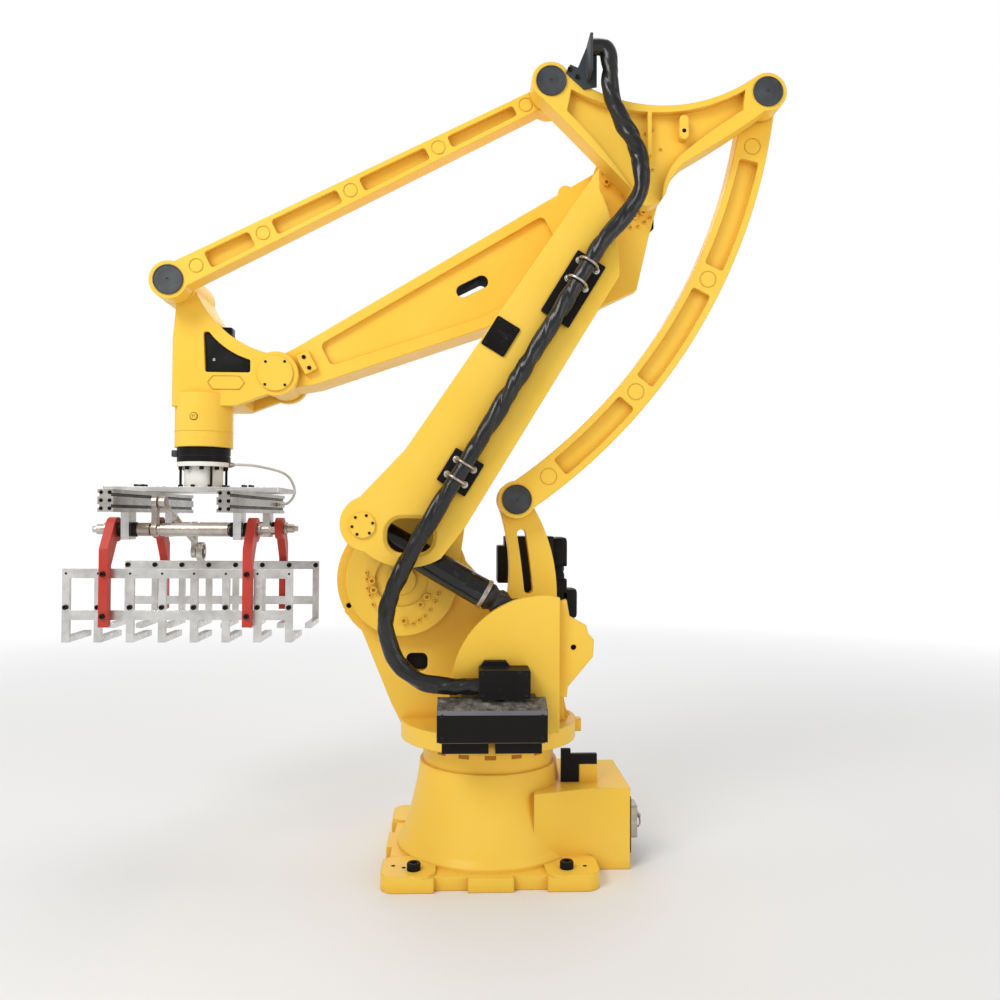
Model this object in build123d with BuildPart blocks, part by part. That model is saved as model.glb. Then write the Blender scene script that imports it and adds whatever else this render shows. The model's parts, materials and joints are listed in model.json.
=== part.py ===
from build123d import *
import os
from math import asin, cos, hypot, radians, sin

# Four-axis palletising robot arm with parallelogram links, a spring balancer and a bag-claw gripper.
# Millimetres. +X points forward over the gripper, +Y to the side with the hose, +Z up.
# The origin is on the floor, on the turning axis of the column.

os.makedirs("parts", exist_ok=True)

# Linkage: the pivots of the two arms, the rocker and the two links
SHOULDER_X = 260
SHOULDER_Z = 823
LOWER_LENGTH = 1370
LOWER_LEAN = 31.2
UPPER_LENGTH = 1225
UPPER_DROP = 27.4
REAR_X = -334
REAR_Z = 238
FRONT_X = 289
FRONT_Z = 252
TOOL_AHEAD = 222

# Layers across the arm, from the far side to the near side
SHOULDER_PLATE_NEAR = 25
SHOULDER_PLATE_WALL = 85
RUN_GAP = 5
LOWER_FAR_WALL = 45
LOWER_DEPTH = 210
LOWER_NEAR_WALL = 28
LINK_BACK = 82
LINK_THICK = 60
ROCKER_BACK = 148
ROCKER_THICK = 72
ROCKER_RECESS = 26
UPPER_WIDTH = 140
SEAT_GAP = 0.3

# Pivot pins and caps
PIN_R = 24
PIN_CLEAR = 0.3
EYE_R = 55
CAP_R = 43
CAP_THICK = 6

# Foot and turntable
FOOT_SIZE = 600
FOOT_THICK = 38
FOOT_PAD_RISE = 7
FOOT_PAD_SIZE = 150
FOOT_CORNER_R = 42
FOOT_BOLT_INSET_X = 90
FOOT_BOLT_INSET_Y = 50
FOOT_BOLT_R = 13
FOOT_RECESS = 16
FOOT_RECESS_LENGTH = 92
FOOT_RECESS_AT = 108
CONE_MARGIN = 30
CONE_TOP_R = 205
CONE_TOP_Z = 286
NECK_R = 196
NECK_TOP_Z = 356
NOTCH_COUNT = 16
NOTCH_WIDTH = 32
NOTCH_HEIGHT = 14
NOTCH_DEPTH = 18
HOUSING_REAR = 405
HOUSING_HALF = 150
HOUSING_TOP = 232
PANEL_THICK = 8
DISC_R = 263
DISC_THICK = 52
STOP_DOG = 18
STOP_BLOCK_X = -292
STOP_BLOCK_Y = 60
STOP_BLOCK = 56

# Column
COLUMN_BLOCK_TOP = 520
SHOULDER_HOUSING_R = 196
NEAR_PLATE_NEAR = 222
NEAR_PLATE_WALL = 30
NEAR_PLATE_REAR = -192
FLANK_WALL = 32
FLANK_SEAT = 38
BALANCER_REAR_X = -234
BALANCER_REAR_Z = 642
BALANCER_PIN_R = 16
POST_THICK = 52
TURN_MOTOR_SIZE = 130
TURN_MOTOR_Y = -130
TURN_MOTOR_TOP = 950
MOTOR_R = 82
MOTOR_LENGTH = 240
BOX_LENGTH = 296
BOX_BOTTOM = 410
BOX_FRONT = 84
BOX_SLOPE = 24
BOX_DEPTH = 66
SKIRT_DROP = 36
SKIRT_DEPTH = 40
SKIRT_GAP = 18
OUTLET_LENGTH = 140
OUTLET_HEIGHT = 78

# Lower arm
SHOULDER_DISC_R = 165
ELBOW_DISC_R = 154
BALANCER_FRONT_U = 88
BALANCER_FRONT_V = -168
HOSE_V = -15
HOSE_R = 24
HOSE_STAND_OFF = 36
HOSE_END_X = -268
HOSE_END_Z = 2318
BRACKET_TAB = 8
CLAMP_WIDTH = 92
CLAMP_LENGTHS = (104, 200)
CLAMP_SHIFTS = (0, -50)
HOSE_RUN_START = 300
HOSE_RUN_END = 310
CLAMP_IN = 54
PIN_COVER_R = 36
HUB_R = 42
HUB_RECESS_R = 78
HUB_RECESS = 8
WINDOW_LENGTH = 128
WINDOW_HEIGHT = 96
WINDOW_R = 42
WINDOW_RIM = 10

# Balancer
TUBE_R = 42
BOOT_R = 38
ROD_R = 12
ROD_CLEAR = 14

# Wrist and gripper
WRIST_EAR = 26
EAR_GAP = 6
STOP_THICK = 18
WRIST_EAR_R = 66
WRIST_COVER_R = 52
WRIST_SIDE = 79
WRIST_R = 84
WRIST_FOOT_Z = 1212
FLANGE_R = 77
FLANGE_THICK = 44
PILLAR_R = 56
PILLAR_HEIGHT = 76
PILLAR_FLANGE_R = 76
PILLAR_FLANGE = 13
PLATE_LENGTH = 500
PLATE_WIDTH = 250
PLATE_THICK = 14
PROFILE_WIDTH = 40
PROFILE_HEIGHT = 60
PROFILE_LENGTH = 700
PROFILE_SPACING = 306
PROFILE_SLOT = 9
PROFILE_SLOT_DEPTH = 6
AIR_TUBE_R = 4
AIR_TUBE_Y = -212
SHAFT_Y = 185
SHAFT_DROP = 48
SHAFT_R = 14
SHAFT_LENGTH = 470
CLAW_ARM_SPACING = 384
CLAW_ARM_THICK = 24
CLAW_LEG = 26
RAKE_OUT = 34
RAKE_LENGTH = 622
RAKE_RAIL = 26
RAKE_BAR = 12
TOP_RAIL_DROP = 120
LOW_RAIL_DROP = 234
FINGER_DROP = 308
FINGER_LENGTH = 150
FINGER_COUNT = 8
FINGER_PITCH = 86
FINGER_THICK = 16
FINGER_WIDTH = 20
CRANK_AT = 72
CRANK_LENGTH = 76
CRANK_THICK = 14
CRANK_PIN_R = 8
TIE_CLEAR = 15
TIE_ROD_R = 7
TIE_EYE_SMALL = 18
TIE_EYE_HALF = 8

# Worked out from the sizes above
FOOT_BOLT_X = FOOT_SIZE - 2 * FOOT_BOLT_INSET_X
FOOT_BOLT_Y = FOOT_SIZE - 2 * FOOT_BOLT_INSET_Y
CONE_FOOT_R = FOOT_SIZE / 2 - CONE_MARGIN
HOSE_RUN = (HOSE_RUN_START, LOWER_LENGTH - HOSE_RUN_END)
CLAMP_AT = (HOSE_RUN[0] + CLAMP_IN, HOSE_RUN[1] - CLAMP_IN)
LOWER_FAR = SHOULDER_PLATE_NEAR + RUN_GAP
FLANGE_FACE = LOWER_FAR + LOWER_FAR_WALL
LOWER_NEAR = LOWER_FAR + LOWER_DEPTH
LINK_NEAR = LINK_BACK + LINK_THICK
ROCKER_NEAR = ROCKER_BACK + ROCKER_THICK
UPPER_NEAR = LOWER_FAR - RUN_GAP
DISC_BOTTOM = NECK_TOP_Z + SEAT_GAP
DISC_TOP = DISC_BOTTOM + DISC_THICK
LEAN = radians(LOWER_LEAN)
DROP = radians(UPPER_DROP)
ELBOW_X = SHOULDER_X - LOWER_LENGTH * sin(LEAN)
ELBOW_Z = SHOULDER_Z + LOWER_LENGTH * cos(LEAN)
WRIST_X = ELBOW_X + UPPER_LENGTH * cos(DROP)
WRIST_Z = ELBOW_Z - UPPER_LENGTH * sin(DROP)
POST_X = SHOULDER_X + REAR_X
POST_Z = SHOULDER_Z + REAR_Z
HEAD_X = WRIST_X + FRONT_X
HEAD_Z = WRIST_Z + FRONT_Z
TOOL_X = WRIST_X + TOOL_AHEAD
PLATE_TOP = WRIST_FOOT_Z - FLANGE_THICK - PILLAR_HEIGHT
PROFILE_TOP = PLATE_TOP - PLATE_THICK
SHAFT_Z = PROFILE_TOP - PROFILE_HEIGHT - SHAFT_DROP
BALANCER_Y = (FLANGE_FACE + LOWER_NEAR - LOWER_NEAR_WALL) / 2
BALANCER_FRONT_X = SHOULDER_X - BALANCER_FRONT_U * sin(LEAN) - BALANCER_FRONT_V * cos(LEAN)
BALANCER_FRONT_Z = SHOULDER_Z + BALANCER_FRONT_U * cos(LEAN) - BALANCER_FRONT_V * sin(LEAN)
HOSE_Y = LOWER_NEAR + HOSE_STAND_OFF


def side(y):
    """Sketch plane of the arm's side at depth y: local x is X, local y is Z, extrusion runs to the far side."""
    return Plane((0, y, 0), x_dir=(1, 0, 0), z_dir=(0, -1, 0))


def lower_plane(y, x=SHOULDER_X, z=SHOULDER_Z):
    """Sketch plane along the lower arm: local x runs up the arm, local y to its rear edge."""
    return Plane((x, y, z), x_dir=(-sin(LEAN), 0, cos(LEAN)), z_dir=(0, -1, 0))


def upper_plane(y, x=ELBOW_X, z=ELBOW_Z):
    """Sketch plane along the upper arm: local x runs to the wrist, local y to its upper edge."""
    return Plane((x, y, z), x_dir=(cos(DROP), 0, -sin(DROP)), z_dir=(0, -1, 0))


def save(node, name):
    """Name a finished piece and write it."""
    node.part.label = name
    export_step(node.part, f"parts/{name}.step")


# Base casting: a four-lobed foot, a flared cone, the bearing neck and the rear connector housing
with BuildPart() as base_casting:
    with BuildSketch():
        RectangleRounded(FOOT_SIZE, FOOT_SIZE, FOOT_CORNER_R)
        for angle in range(0, 360, 90):
            with PolarLocations(FOOT_SIZE / 2, 1, start_angle=angle):
                with Locations((0, FOOT_RECESS_AT), (0, -FOOT_RECESS_AT)):
                    Rectangle(2 * FOOT_RECESS, FOOT_RECESS_LENGTH, mode=Mode.SUBTRACT)
    extrude(amount=FOOT_THICK)
    with BuildSketch(Plane.XY.offset(FOOT_THICK)):
        with GridLocations(FOOT_SIZE - FOOT_PAD_SIZE, FOOT_SIZE - FOOT_PAD_SIZE, 2, 2):
            RectangleRounded(FOOT_PAD_SIZE, FOOT_PAD_SIZE, FOOT_CORNER_R)
    extrude(amount=FOOT_PAD_RISE)
    with BuildSketch(Plane.XY):
        with BuildLine():
            housing = Polyline(
                (-CONE_TOP_R * 0.6, CONE_TOP_R),
                (-HOUSING_REAR * 0.72, HOUSING_HALF),
                (-HOUSING_REAR, HOUSING_HALF),
                (-HOUSING_REAR, -HOUSING_HALF),
                (-HOUSING_REAR * 0.72, -HOUSING_HALF),
                (-CONE_TOP_R * 0.6, -CONE_TOP_R),
                close=True,
            )
        make_face()
    extrude(amount=HOUSING_TOP)
    with BuildSketch(Plane.XZ):
        with BuildLine():
            outer = Polyline((0, 0), (CONE_FOOT_R, 0), (CONE_FOOT_R, FOOT_THICK + 10),
                             (CONE_FOOT_R - 12, FOOT_THICK + 30))
            flare = ThreePointArc(
                outer @ 1,
                ((CONE_FOOT_R + CONE_TOP_R) / 2 - 10, (FOOT_THICK + CONE_TOP_Z) / 2),
                (CONE_TOP_R, CONE_TOP_Z),
            )
            Polyline(flare @ 1, (NECK_R, CONE_TOP_Z), (NECK_R, NECK_TOP_Z), (0, NECK_TOP_Z), (0, 0))
        make_face()
    revolve(axis=Axis.Z)
    with Locations((0, 0, FOOT_THICK + FOOT_PAD_RISE)):
        with GridLocations(FOOT_BOLT_X, FOOT_BOLT_Y, 2, 2):
            Hole(FOOT_BOLT_R)
    with BuildSketch(Plane.XY.offset(NECK_TOP_Z)):
        with PolarLocations(NECK_R, NOTCH_COUNT):
            Rectangle(2 * NOTCH_DEPTH, NOTCH_WIDTH)
    extrude(amount=-NOTCH_HEIGHT, mode=Mode.SUBTRACT)
    with BuildSketch(Plane.XY.offset(HOUSING_TOP)):
        with Locations((STOP_BLOCK_X, STOP_BLOCK_Y)):
            RectangleRounded(STOP_BLOCK, STOP_BLOCK, 6)
    extrude(amount=STOP_BLOCK - 4)
save(base_casting, "base_casting")

# Turn stop: a black angle bracket on the housing, with its arm over the stop block
with BuildPart() as turn_stop:
    with BuildSketch(side(STOP_BLOCK_Y + STOP_BLOCK / 2)):
        with BuildLine():
            Polyline(
                (STOP_BLOCK_X + 80, HOUSING_TOP),
                (STOP_BLOCK_X + 80, HOUSING_TOP + 96),
                (STOP_BLOCK_X + 52, HOUSING_TOP + 96),
                (STOP_BLOCK_X + 52, HOUSING_TOP + 82),
                (STOP_BLOCK_X - 26, HOUSING_TOP + 82),
                (STOP_BLOCK_X - 26, HOUSING_TOP + STOP_BLOCK - 4),
                (STOP_BLOCK_X + STOP_BLOCK / 2, HOUSING_TOP + STOP_BLOCK - 4),
                (STOP_BLOCK_X + STOP_BLOCK / 2, HOUSING_TOP),
                close=True,
            )
        make_face()
    extrude(amount=16)
save(turn_stop, "turn_stop")

# Connector panel on the rear of the housing, with its plugs
with BuildPart() as connector_panel:
    with BuildSketch(Plane((-HOUSING_REAR, 0, HOUSING_TOP / 2), x_dir=(0, 1, 0), z_dir=(-1, 0, 0))):
        RectangleRounded(2 * HOUSING_HALF - 50, HOUSING_TOP - 70, 8)
    extrude(amount=PANEL_THICK)
save(connector_panel, "connector_panel")

with BuildPart() as panel_connectors:
    with BuildSketch(Plane((-HOUSING_REAR - PANEL_THICK, 0, HOUSING_TOP / 2), x_dir=(0, 1, 0), z_dir=(-1, 0, 0))):
        with GridLocations(120, 0, 2, 1):
            RectangleRounded(70, 96, 8)
    extrude(amount=24)
save(panel_connectors, "panel_connectors")

# Column casting: the turntable disc, the block on it and the shoulder plate with its lugs
with BuildPart() as column_casting:
    with BuildSketch(Plane.XY.offset(DISC_BOTTOM)):
        Circle(DISC_R)
    extrude(amount=DISC_THICK)
    with BuildSketch(Plane.XY.offset(DISC_BOTTOM + 8)):
        with Locations((-DISC_R, 0)):
            RectangleRounded(2 * STOP_DOG, 2 * STOP_DOG, 4)
    extrude(amount=DISC_THICK - 16)
    with BuildSketch(side(SHOULDER_PLATE_NEAR)):
        with BuildLine():
            Polyline(
                (DISC_R - 4, DISC_TOP - 20),
                (SHOULDER_X + 30, DISC_TOP + 40),
                (SHOULDER_X + 122, SHOULDER_Z - 152),
                (SHOULDER_X + 172, SHOULDER_Z - 100),
                (SHOULDER_X + 172, SHOULDER_Z - 58),
                (SHOULDER_X + 60, SHOULDER_Z + 60),
                (SHOULDER_X - 190, SHOULDER_Z + 50),
                (-DISC_R + 60, COLUMN_BLOCK_TOP + 60),
                (-DISC_R + 20, DISC_TOP - 20),
                close=True,
            )
        make_face()
        with Locations((SHOULDER_X, SHOULDER_Z)):
            Circle(SHOULDER_HOUSING_R)
        with Locations((SHOULDER_X - 44, SHOULDER_Z - 248)):
            RectangleRounded(64, 54, 18, mode=Mode.SUBTRACT)
        with Locations((SHOULDER_X + 160, SHOULDER_Z - 80)):
            Circle(8, mode=Mode.SUBTRACT)
    extrude(amount=SHOULDER_PLATE_WALL)
    with BuildSketch(side(LOWER_FAR - SEAT_GAP)):
        with Locations((SHOULDER_X, SHOULDER_Z)):
            Circle(SHOULDER_DISC_R - 20)
    extrude(amount=RUN_GAP)
    with BuildSketch(Plane.XY.offset(DISC_TOP)):
        with Locations((-20, SHOULDER_PLATE_NEAR - 112)):
            RectangleRounded(330, 224, 30)
    extrude(amount=COLUMN_BLOCK_TOP - DISC_TOP)
save(column_casting, "column_casting")

# Link post: a slotted, slightly curved stand with the rear link's lower eye
with BuildPart() as link_post:
    with BuildSketch(side(LINK_BACK - RUN_GAP)):
        with BuildLine():
            front = ThreePointArc((POST_X + 52, POST_Z - 14), (POST_X + 20, POST_Z - 160),
                                  (POST_X + 30, POST_Z - 330))
            foot = Polyline(front @ 1, (POST_X + 60, DISC_TOP), (POST_X - 150, DISC_TOP),
                            (POST_X - 122, POST_Z - 330))
            rear = ThreePointArc(foot @ 1, (POST_X - 110, POST_Z - 160), (POST_X - 50, POST_Z - 14))
            Line(rear @ 1, front @ 0)
        make_face()
        with Locations((POST_X, POST_Z)):
            Circle(EYE_R)
        with BuildLine(mode=Mode.PRIVATE) as slot_line:
            ThreePointArc((POST_X - 18, POST_Z - 100), (POST_X - 30, POST_Z - 180), (POST_X - 40, POST_Z - 265))
        SlotArc(slot_line.wire(), 26, mode=Mode.SUBTRACT)
    extrude(amount=POST_THICK)
    with BuildSketch(side(LINK_NEAR - CAP_THICK)):
        with Locations((POST_X, POST_Z)):
            Circle(PIN_R)
    extrude(amount=LINK_THICK)
save(link_post, "link_post")

# Balancer bracket: the rounded near plate with its rear flank and the balancer's lower pin
with BuildPart() as balancer_bracket:
    with BuildSketch(side(NEAR_PLATE_NEAR)):
        with BuildLine():
            crown = ThreePointArc((112, 545), (34, 715), (NEAR_PLATE_REAR + 27, 790))
            Polyline(
                crown @ 1,
                (NEAR_PLATE_REAR, 784),
                (NEAR_PLATE_REAR, DISC_TOP),
                (130, DISC_TOP),
                crown @ 0,
            )
        make_face()
    extrude(amount=NEAR_PLATE_WALL)
    with BuildSketch(side(NEAR_PLATE_NEAR - NEAR_PLATE_WALL)):
        with BuildLine():
            Polyline(
                (NEAR_PLATE_REAR + FLANK_SEAT, 760),
                (NEAR_PLATE_REAR - 22, 776),
                (NEAR_PLATE_REAR - 30, 730),
                (BALANCER_REAR_X - 36, BALANCER_REAR_Z + 62),
                (BALANCER_REAR_X - 42, BALANCER_REAR_Z + 40),
                (BALANCER_REAR_X - 58, BALANCER_REAR_Z + 22),
                (BALANCER_REAR_X - 56, BALANCER_REAR_Z - 26),
                (BALANCER_REAR_X + 16, BALANCER_REAR_Z - 112),
                (BALANCER_REAR_X + 18, BALANCER_REAR_Z - 140),
                (NEAR_PLATE_REAR + FLANK_SEAT, BALANCER_REAR_Z - 140),
                close=True,
            )
        make_face()
    extrude(amount=FLANK_WALL)
    with BuildSketch(side(NEAR_PLATE_NEAR - NEAR_PLATE_WALL)):
        with Locations((BALANCER_REAR_X, BALANCER_REAR_Z)):
            Circle(BALANCER_PIN_R)
    extrude(amount=NEAR_PLATE_NEAR - NEAR_PLATE_WALL - BALANCER_Y + ROD_R)
    with BuildSketch(side(NEAR_PLATE_NEAR - NEAR_PLATE_WALL)):
        with Locations((BALANCER_REAR_X, BALANCER_REAR_Z)):
            Circle(BALANCER_PIN_R / 2)
    extrude(amount=FLANK_WALL / 2, mode=Mode.SUBTRACT)
save(balancer_bracket, "balancer_bracket")

# Turning motor, standing behind the post
with BuildPart() as turn_motor:
    with BuildSketch(Plane.XY.offset(COLUMN_BLOCK_TOP)):
        with Locations((POST_X - 66, TURN_MOTOR_Y)):
            RectangleRounded(TURN_MOTOR_SIZE, TURN_MOTOR_SIZE, 16)
    extrude(amount=TURN_MOTOR_TOP - COLUMN_BLOCK_TOP)
    with BuildSketch(Plane((POST_X - 66 - TURN_MOTOR_SIZE / 2, TURN_MOTOR_Y, 0), x_dir=(0, -1, 0), z_dir=(-1, 0, 0))):
        with Locations((0, TURN_MOTOR_TOP - 60), (0, TURN_MOTOR_TOP - 170)):
            RectangleRounded(70, 70, 10)
    extrude(amount=44)
save(turn_motor, "turn_motor")

# Shoulder gearbox and motor on the far side of the shoulder plate
with BuildPart() as shoulder_gearbox:
    with BuildSketch(side(SHOULDER_PLATE_NEAR - SHOULDER_PLATE_WALL)):
        with Locations((SHOULDER_X, SHOULDER_Z)):
            Circle(SHOULDER_DISC_R - 20)
    extrude(amount=46, taper=6)
save(shoulder_gearbox, "shoulder_gearbox")

with BuildPart() as shoulder_motor:
    with BuildSketch(side(SHOULDER_PLATE_NEAR - SHOULDER_PLATE_WALL - 46)):
        with Locations((SHOULDER_X, SHOULDER_Z)):
            RectangleRounded(1.7 * MOTOR_R, 1.7 * MOTOR_R, 20)
    extrude(amount=MOTOR_LENGTH)
    with BuildSketch(Plane.XY.offset(SHOULDER_Z + 0.85 * MOTOR_R)):
        with Locations((SHOULDER_X, SHOULDER_PLATE_NEAR - SHOULDER_PLATE_WALL - 46 - MOTOR_LENGTH + 45)):
            RectangleRounded(60, 56, 8)
    extrude(amount=40)
save(shoulder_motor, "shoulder_motor")

# Side box with a sloped top and two cover flaps below, and the black plate above it that the hose comes out of
BOX_BACK = DISC_R + RUN_GAP

with BuildPart() as side_box:
    with BuildSketch(Plane((BOX_LENGTH / 2, 0, 0), x_dir=(0, 1, 0), z_dir=(1, 0, 0))):
        with BuildLine():
            Polyline(
                (BOX_BACK, BOX_BOTTOM),
                (BOX_BACK + BOX_DEPTH, BOX_BOTTOM),
                (BOX_BACK + BOX_DEPTH, BOX_BOTTOM + BOX_FRONT),
                (BOX_BACK, BOX_BOTTOM + BOX_FRONT + BOX_SLOPE),
                close=True,
            )
        make_face()
    extrude(amount=-BOX_LENGTH)
    with BuildSketch(Plane.XY.offset(BOX_BOTTOM)):
        for hand in (-1, 1):
            with Locations((hand * (BOX_LENGTH - 26 + SKIRT_GAP) / 4, BOX_BACK + SKIRT_DEPTH / 2)):
                Rectangle((BOX_LENGTH - 26 - SKIRT_GAP) / 2, SKIRT_DEPTH)
    extrude(amount=-SKIRT_DROP)
    with BuildSketch(side(BOX_BACK)):
        with Locations((-20, BOX_BOTTOM + 66)):
            Rectangle(BOX_LENGTH - 90, 84)
    extrude(amount=BOX_BACK - NEAR_PLATE_NEAR)
save(side_box, "side_box")

OUTLET_X = -34
OUTLET_BOTTOM = BOX_BOTTOM + BOX_FRONT + BOX_SLOPE + SEAT_GAP

with BuildPart() as hose_outlet:
    with BuildSketch(side(HOSE_Y + HOSE_R + 4)):
        with Locations((OUTLET_X, OUTLET_BOTTOM + OUTLET_HEIGHT / 2)):
            RectangleRounded(OUTLET_LENGTH, OUTLET_HEIGHT, 5)
    extrude(amount=HOSE_Y + HOSE_R + 4 - NEAR_PLATE_NEAR)
    with BuildSketch(side(NEAR_PLATE_NEAR + 24)):
        with Locations((OUTLET_X + 24, OUTLET_BOTTOM + OUTLET_HEIGHT)):
            Trapezoid(84, 16, 52, align=(Align.CENTER, Align.MIN))
    extrude(amount=24)
save(hose_outlet, "hose_outlet")

# Lower arm casting: two walls on edge ribs, open at both ends, with the bolted discs on the far wall
with BuildPart() as lower_arm_casting:
    with BuildSketch(lower_plane(LOWER_NEAR)) as near_outline:
        with BuildLine():
            belly = ThreePointArc((122, 64), (38, -30), (28, -125))
            boss = ThreePointArc(belly @ 1, (62, -226), (150, -216))
            front = Polyline(boss @ 1, (330, -178), (LOWER_LENGTH - 80, -132), (LOWER_LENGTH - 132, -98))
            lip = ThreePointArc(front @ 1, (LOWER_LENGTH - 192, -20), (LOWER_LENGTH - 310, 76))
            Polyline(lip @ 1, (230, 76), belly @ 0)
        make_face()
    extrude(amount=LOWER_DEPTH)
    with BuildSketch(lower_plane(FLANGE_FACE)):
        Circle(SHOULDER_DISC_R)
        with Locations((LOWER_LENGTH, 0)):
            Circle(ELBOW_DISC_R)
        with BuildLine():
            Polyline(
                (60, 150),
                (230, 76),
                (LOWER_LENGTH - 370, 76),
                (LOWER_LENGTH - 265, 143),
                (LOWER_LENGTH + 105, 92),
                (LOWER_LENGTH, -ELBOW_DISC_R),
                (LOWER_LENGTH - 80, -132),
                (300, -170),
                (60, -150),
                close=True,
            )
        make_face()
    extrude(amount=LOWER_FAR_WALL)
    with BuildSketch(lower_plane(LOWER_NEAR - LOWER_NEAR_WALL)):
        with BuildLine():
            Polyline(
                (-40, 200),
                (185, 200),
                (185, 54),
                (LOWER_LENGTH - 370, 54),
                (LOWER_LENGTH - 360, 200),
                (LOWER_LENGTH + 230, 200),
                (LOWER_LENGTH + 230, -112),
                (LOWER_LENGTH - 80, -112),
                (330, -158),
                (190, -190),
                (120, -300),
                (-40, -300),
                close=True,
            )
        make_face()
    extrude(amount=LOWER_NEAR - LOWER_NEAR_WALL - FLANGE_FACE, mode=Mode.SUBTRACT)
    with BuildSketch(lower_plane(LOWER_NEAR)):
        with BuildLine():
            Polyline(
                (LOWER_LENGTH + 230, -5),
                (LOWER_LENGTH + 135, 22),
                (LOWER_LENGTH - 110, 91),
                (LOWER_LENGTH - 310, 158),
                (LOWER_LENGTH - 310, 300),
                (LOWER_LENGTH + 230, 300),
                close=True,
            )
        make_face()
    extrude(amount=LOWER_DEPTH, mode=Mode.SUBTRACT)
    with BuildSketch(lower_plane(LOWER_NEAR)):
        with Locations((131, -42)):
            RectangleRounded(WINDOW_HEIGHT, WINDOW_LENGTH, WINDOW_R, rotation=-LOWER_LEAN)
    extrude(amount=LOWER_NEAR_WALL, mode=Mode.SUBTRACT)
    with BuildSketch(lower_plane(LOWER_NEAR)):
        with Locations((131, -42)):
            RectangleRounded(WINDOW_HEIGHT + 2 * WINDOW_RIM, WINDOW_LENGTH + 2 * WINDOW_RIM,
                             WINDOW_R + WINDOW_RIM, rotation=-LOWER_LEAN)
    extrude(amount=WINDOW_RIM, taper=44, mode=Mode.SUBTRACT)
    with BuildSketch(lower_plane(FLANGE_FACE)):
        Circle(HUB_RECESS_R)
        Circle(HUB_R, mode=Mode.SUBTRACT)
    extrude(amount=HUB_RECESS, mode=Mode.SUBTRACT)
    with BuildSketch(lower_plane(LOWER_NEAR - LOWER_NEAR_WALL)):
        with Locations((BALANCER_FRONT_U, BALANCER_FRONT_V)):
            Circle(BALANCER_PIN_R)
    extrude(amount=LOWER_NEAR - LOWER_NEAR_WALL - BALANCER_Y + ROD_R)
    with BuildSketch(lower_plane(ROCKER_NEAR - ROCKER_RECESS - 14)):
        with Locations((LOWER_LENGTH, 0)):
            Circle(PIN_R)
    extrude(amount=ROCKER_NEAR - ROCKER_RECESS - 14 - FLANGE_FACE)
save(lower_arm_casting, "lower_arm_casting")

# Round cover over the balancer's front pin
with BuildPart() as balancer_pin_cover:
    with BuildSketch(lower_plane(LOWER_NEAR + CAP_THICK)):
        with Locations((BALANCER_FRONT_U, BALANCER_FRONT_V)):
            Circle(PIN_COVER_R)
    extrude(amount=CAP_THICK)
save(balancer_pin_cover, "balancer_pin_cover")

# Hose clamps: black saddles on the lower arm's near face
CLAMP_NAMES = ("hose_clamp_lower", "hose_clamp_upper")
for name, along, length, shift in zip(CLAMP_NAMES, CLAMP_AT, CLAMP_LENGTHS, CLAMP_SHIFTS):
    with BuildPart() as clamp:
        with BuildSketch(lower_plane(HOSE_Y - HOSE_R - 1)):
            with Locations((along + shift, HOSE_V)):
                RectangleRounded(length, CLAMP_WIDTH, 4)
        extrude(amount=HOSE_Y - HOSE_R - 1 - LOWER_NEAR)
    save(clamp, name)

# Square black cover plate on the near face
with BuildPart() as arm_cover_plate:
    with BuildSketch(lower_plane(LOWER_NEAR + 5)):
        with Locations((736, -118)):
            RectangleRounded(92, 74, 5)
    extrude(amount=5)
save(arm_cover_plate, "arm_cover_plate")

# Straight run of the sleeved hose along the arm
with BuildPart() as hose_arm_run:
    with BuildSketch(Plane(lower_plane(HOSE_Y).from_local_coords((HOSE_RUN[0], HOSE_V, 0)),
                           x_dir=(0, 1, 0), z_dir=(-sin(LEAN), 0, cos(LEAN)))):
        Circle(HOSE_R)
    extrude(amount=HOSE_RUN[1] - HOSE_RUN[0])
save(hose_arm_run, "hose_arm_run")

# Balancer tube with its eye, fabric boot and clamp ring, on the lower arm's pin
REACH_X = BALANCER_REAR_X - BALANCER_FRONT_X
REACH_Z = BALANCER_REAR_Z - BALANCER_FRONT_Z
REACH = hypot(REACH_X, REACH_Z)
BALANCER_DIR = Vector(REACH_X / REACH, 0, REACH_Z / REACH)
BALANCER_FRONT = Vector(BALANCER_FRONT_X, BALANCER_Y, BALANCER_FRONT_Z)
BALANCER_REAR = Vector(BALANCER_REAR_X, BALANCER_Y, BALANCER_REAR_Z)
TUBE_START = 34
TUBE_END = 330
BOOT_END = 520
TUBE_BORE = ROD_R + ROD_CLEAR

with BuildPart() as balancer_tube:
    with BuildSketch(Plane(BALANCER_FRONT + BALANCER_DIR * TUBE_START, x_dir=(0, 1, 0), z_dir=BALANCER_DIR)):
        Circle(TUBE_R)
    extrude(amount=TUBE_END - TUBE_START)
    with BuildSketch(side(BALANCER_Y + TUBE_R)):
        with Locations((BALANCER_FRONT_X, BALANCER_FRONT_Z)):
            Circle(TUBE_R)
    extrude(amount=2 * TUBE_R)
    with BuildSketch(side(BALANCER_Y + TUBE_R)):
        with Locations((BALANCER_FRONT_X, BALANCER_FRONT_Z)):
            Circle(BALANCER_PIN_R + PIN_CLEAR)
    extrude(amount=2 * TUBE_R, mode=Mode.SUBTRACT)
    with BuildSketch(Plane(BALANCER_FRONT + BALANCER_DIR * 70, x_dir=(0, 1, 0), z_dir=BALANCER_DIR)):
        Circle(TUBE_BORE)
    extrude(amount=TUBE_END, mode=Mode.SUBTRACT)
save(balancer_tube, "balancer_tube")

with BuildPart() as balancer_boot:
    with BuildSketch(Plane(BALANCER_FRONT + BALANCER_DIR * TUBE_END, x_dir=(0, 1, 0), z_dir=BALANCER_DIR)):
        Circle(BOOT_R)
        Circle(TUBE_BORE, mode=Mode.SUBTRACT)
    extrude(amount=BOOT_END - TUBE_END)
save(balancer_boot, "balancer_boot")

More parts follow.
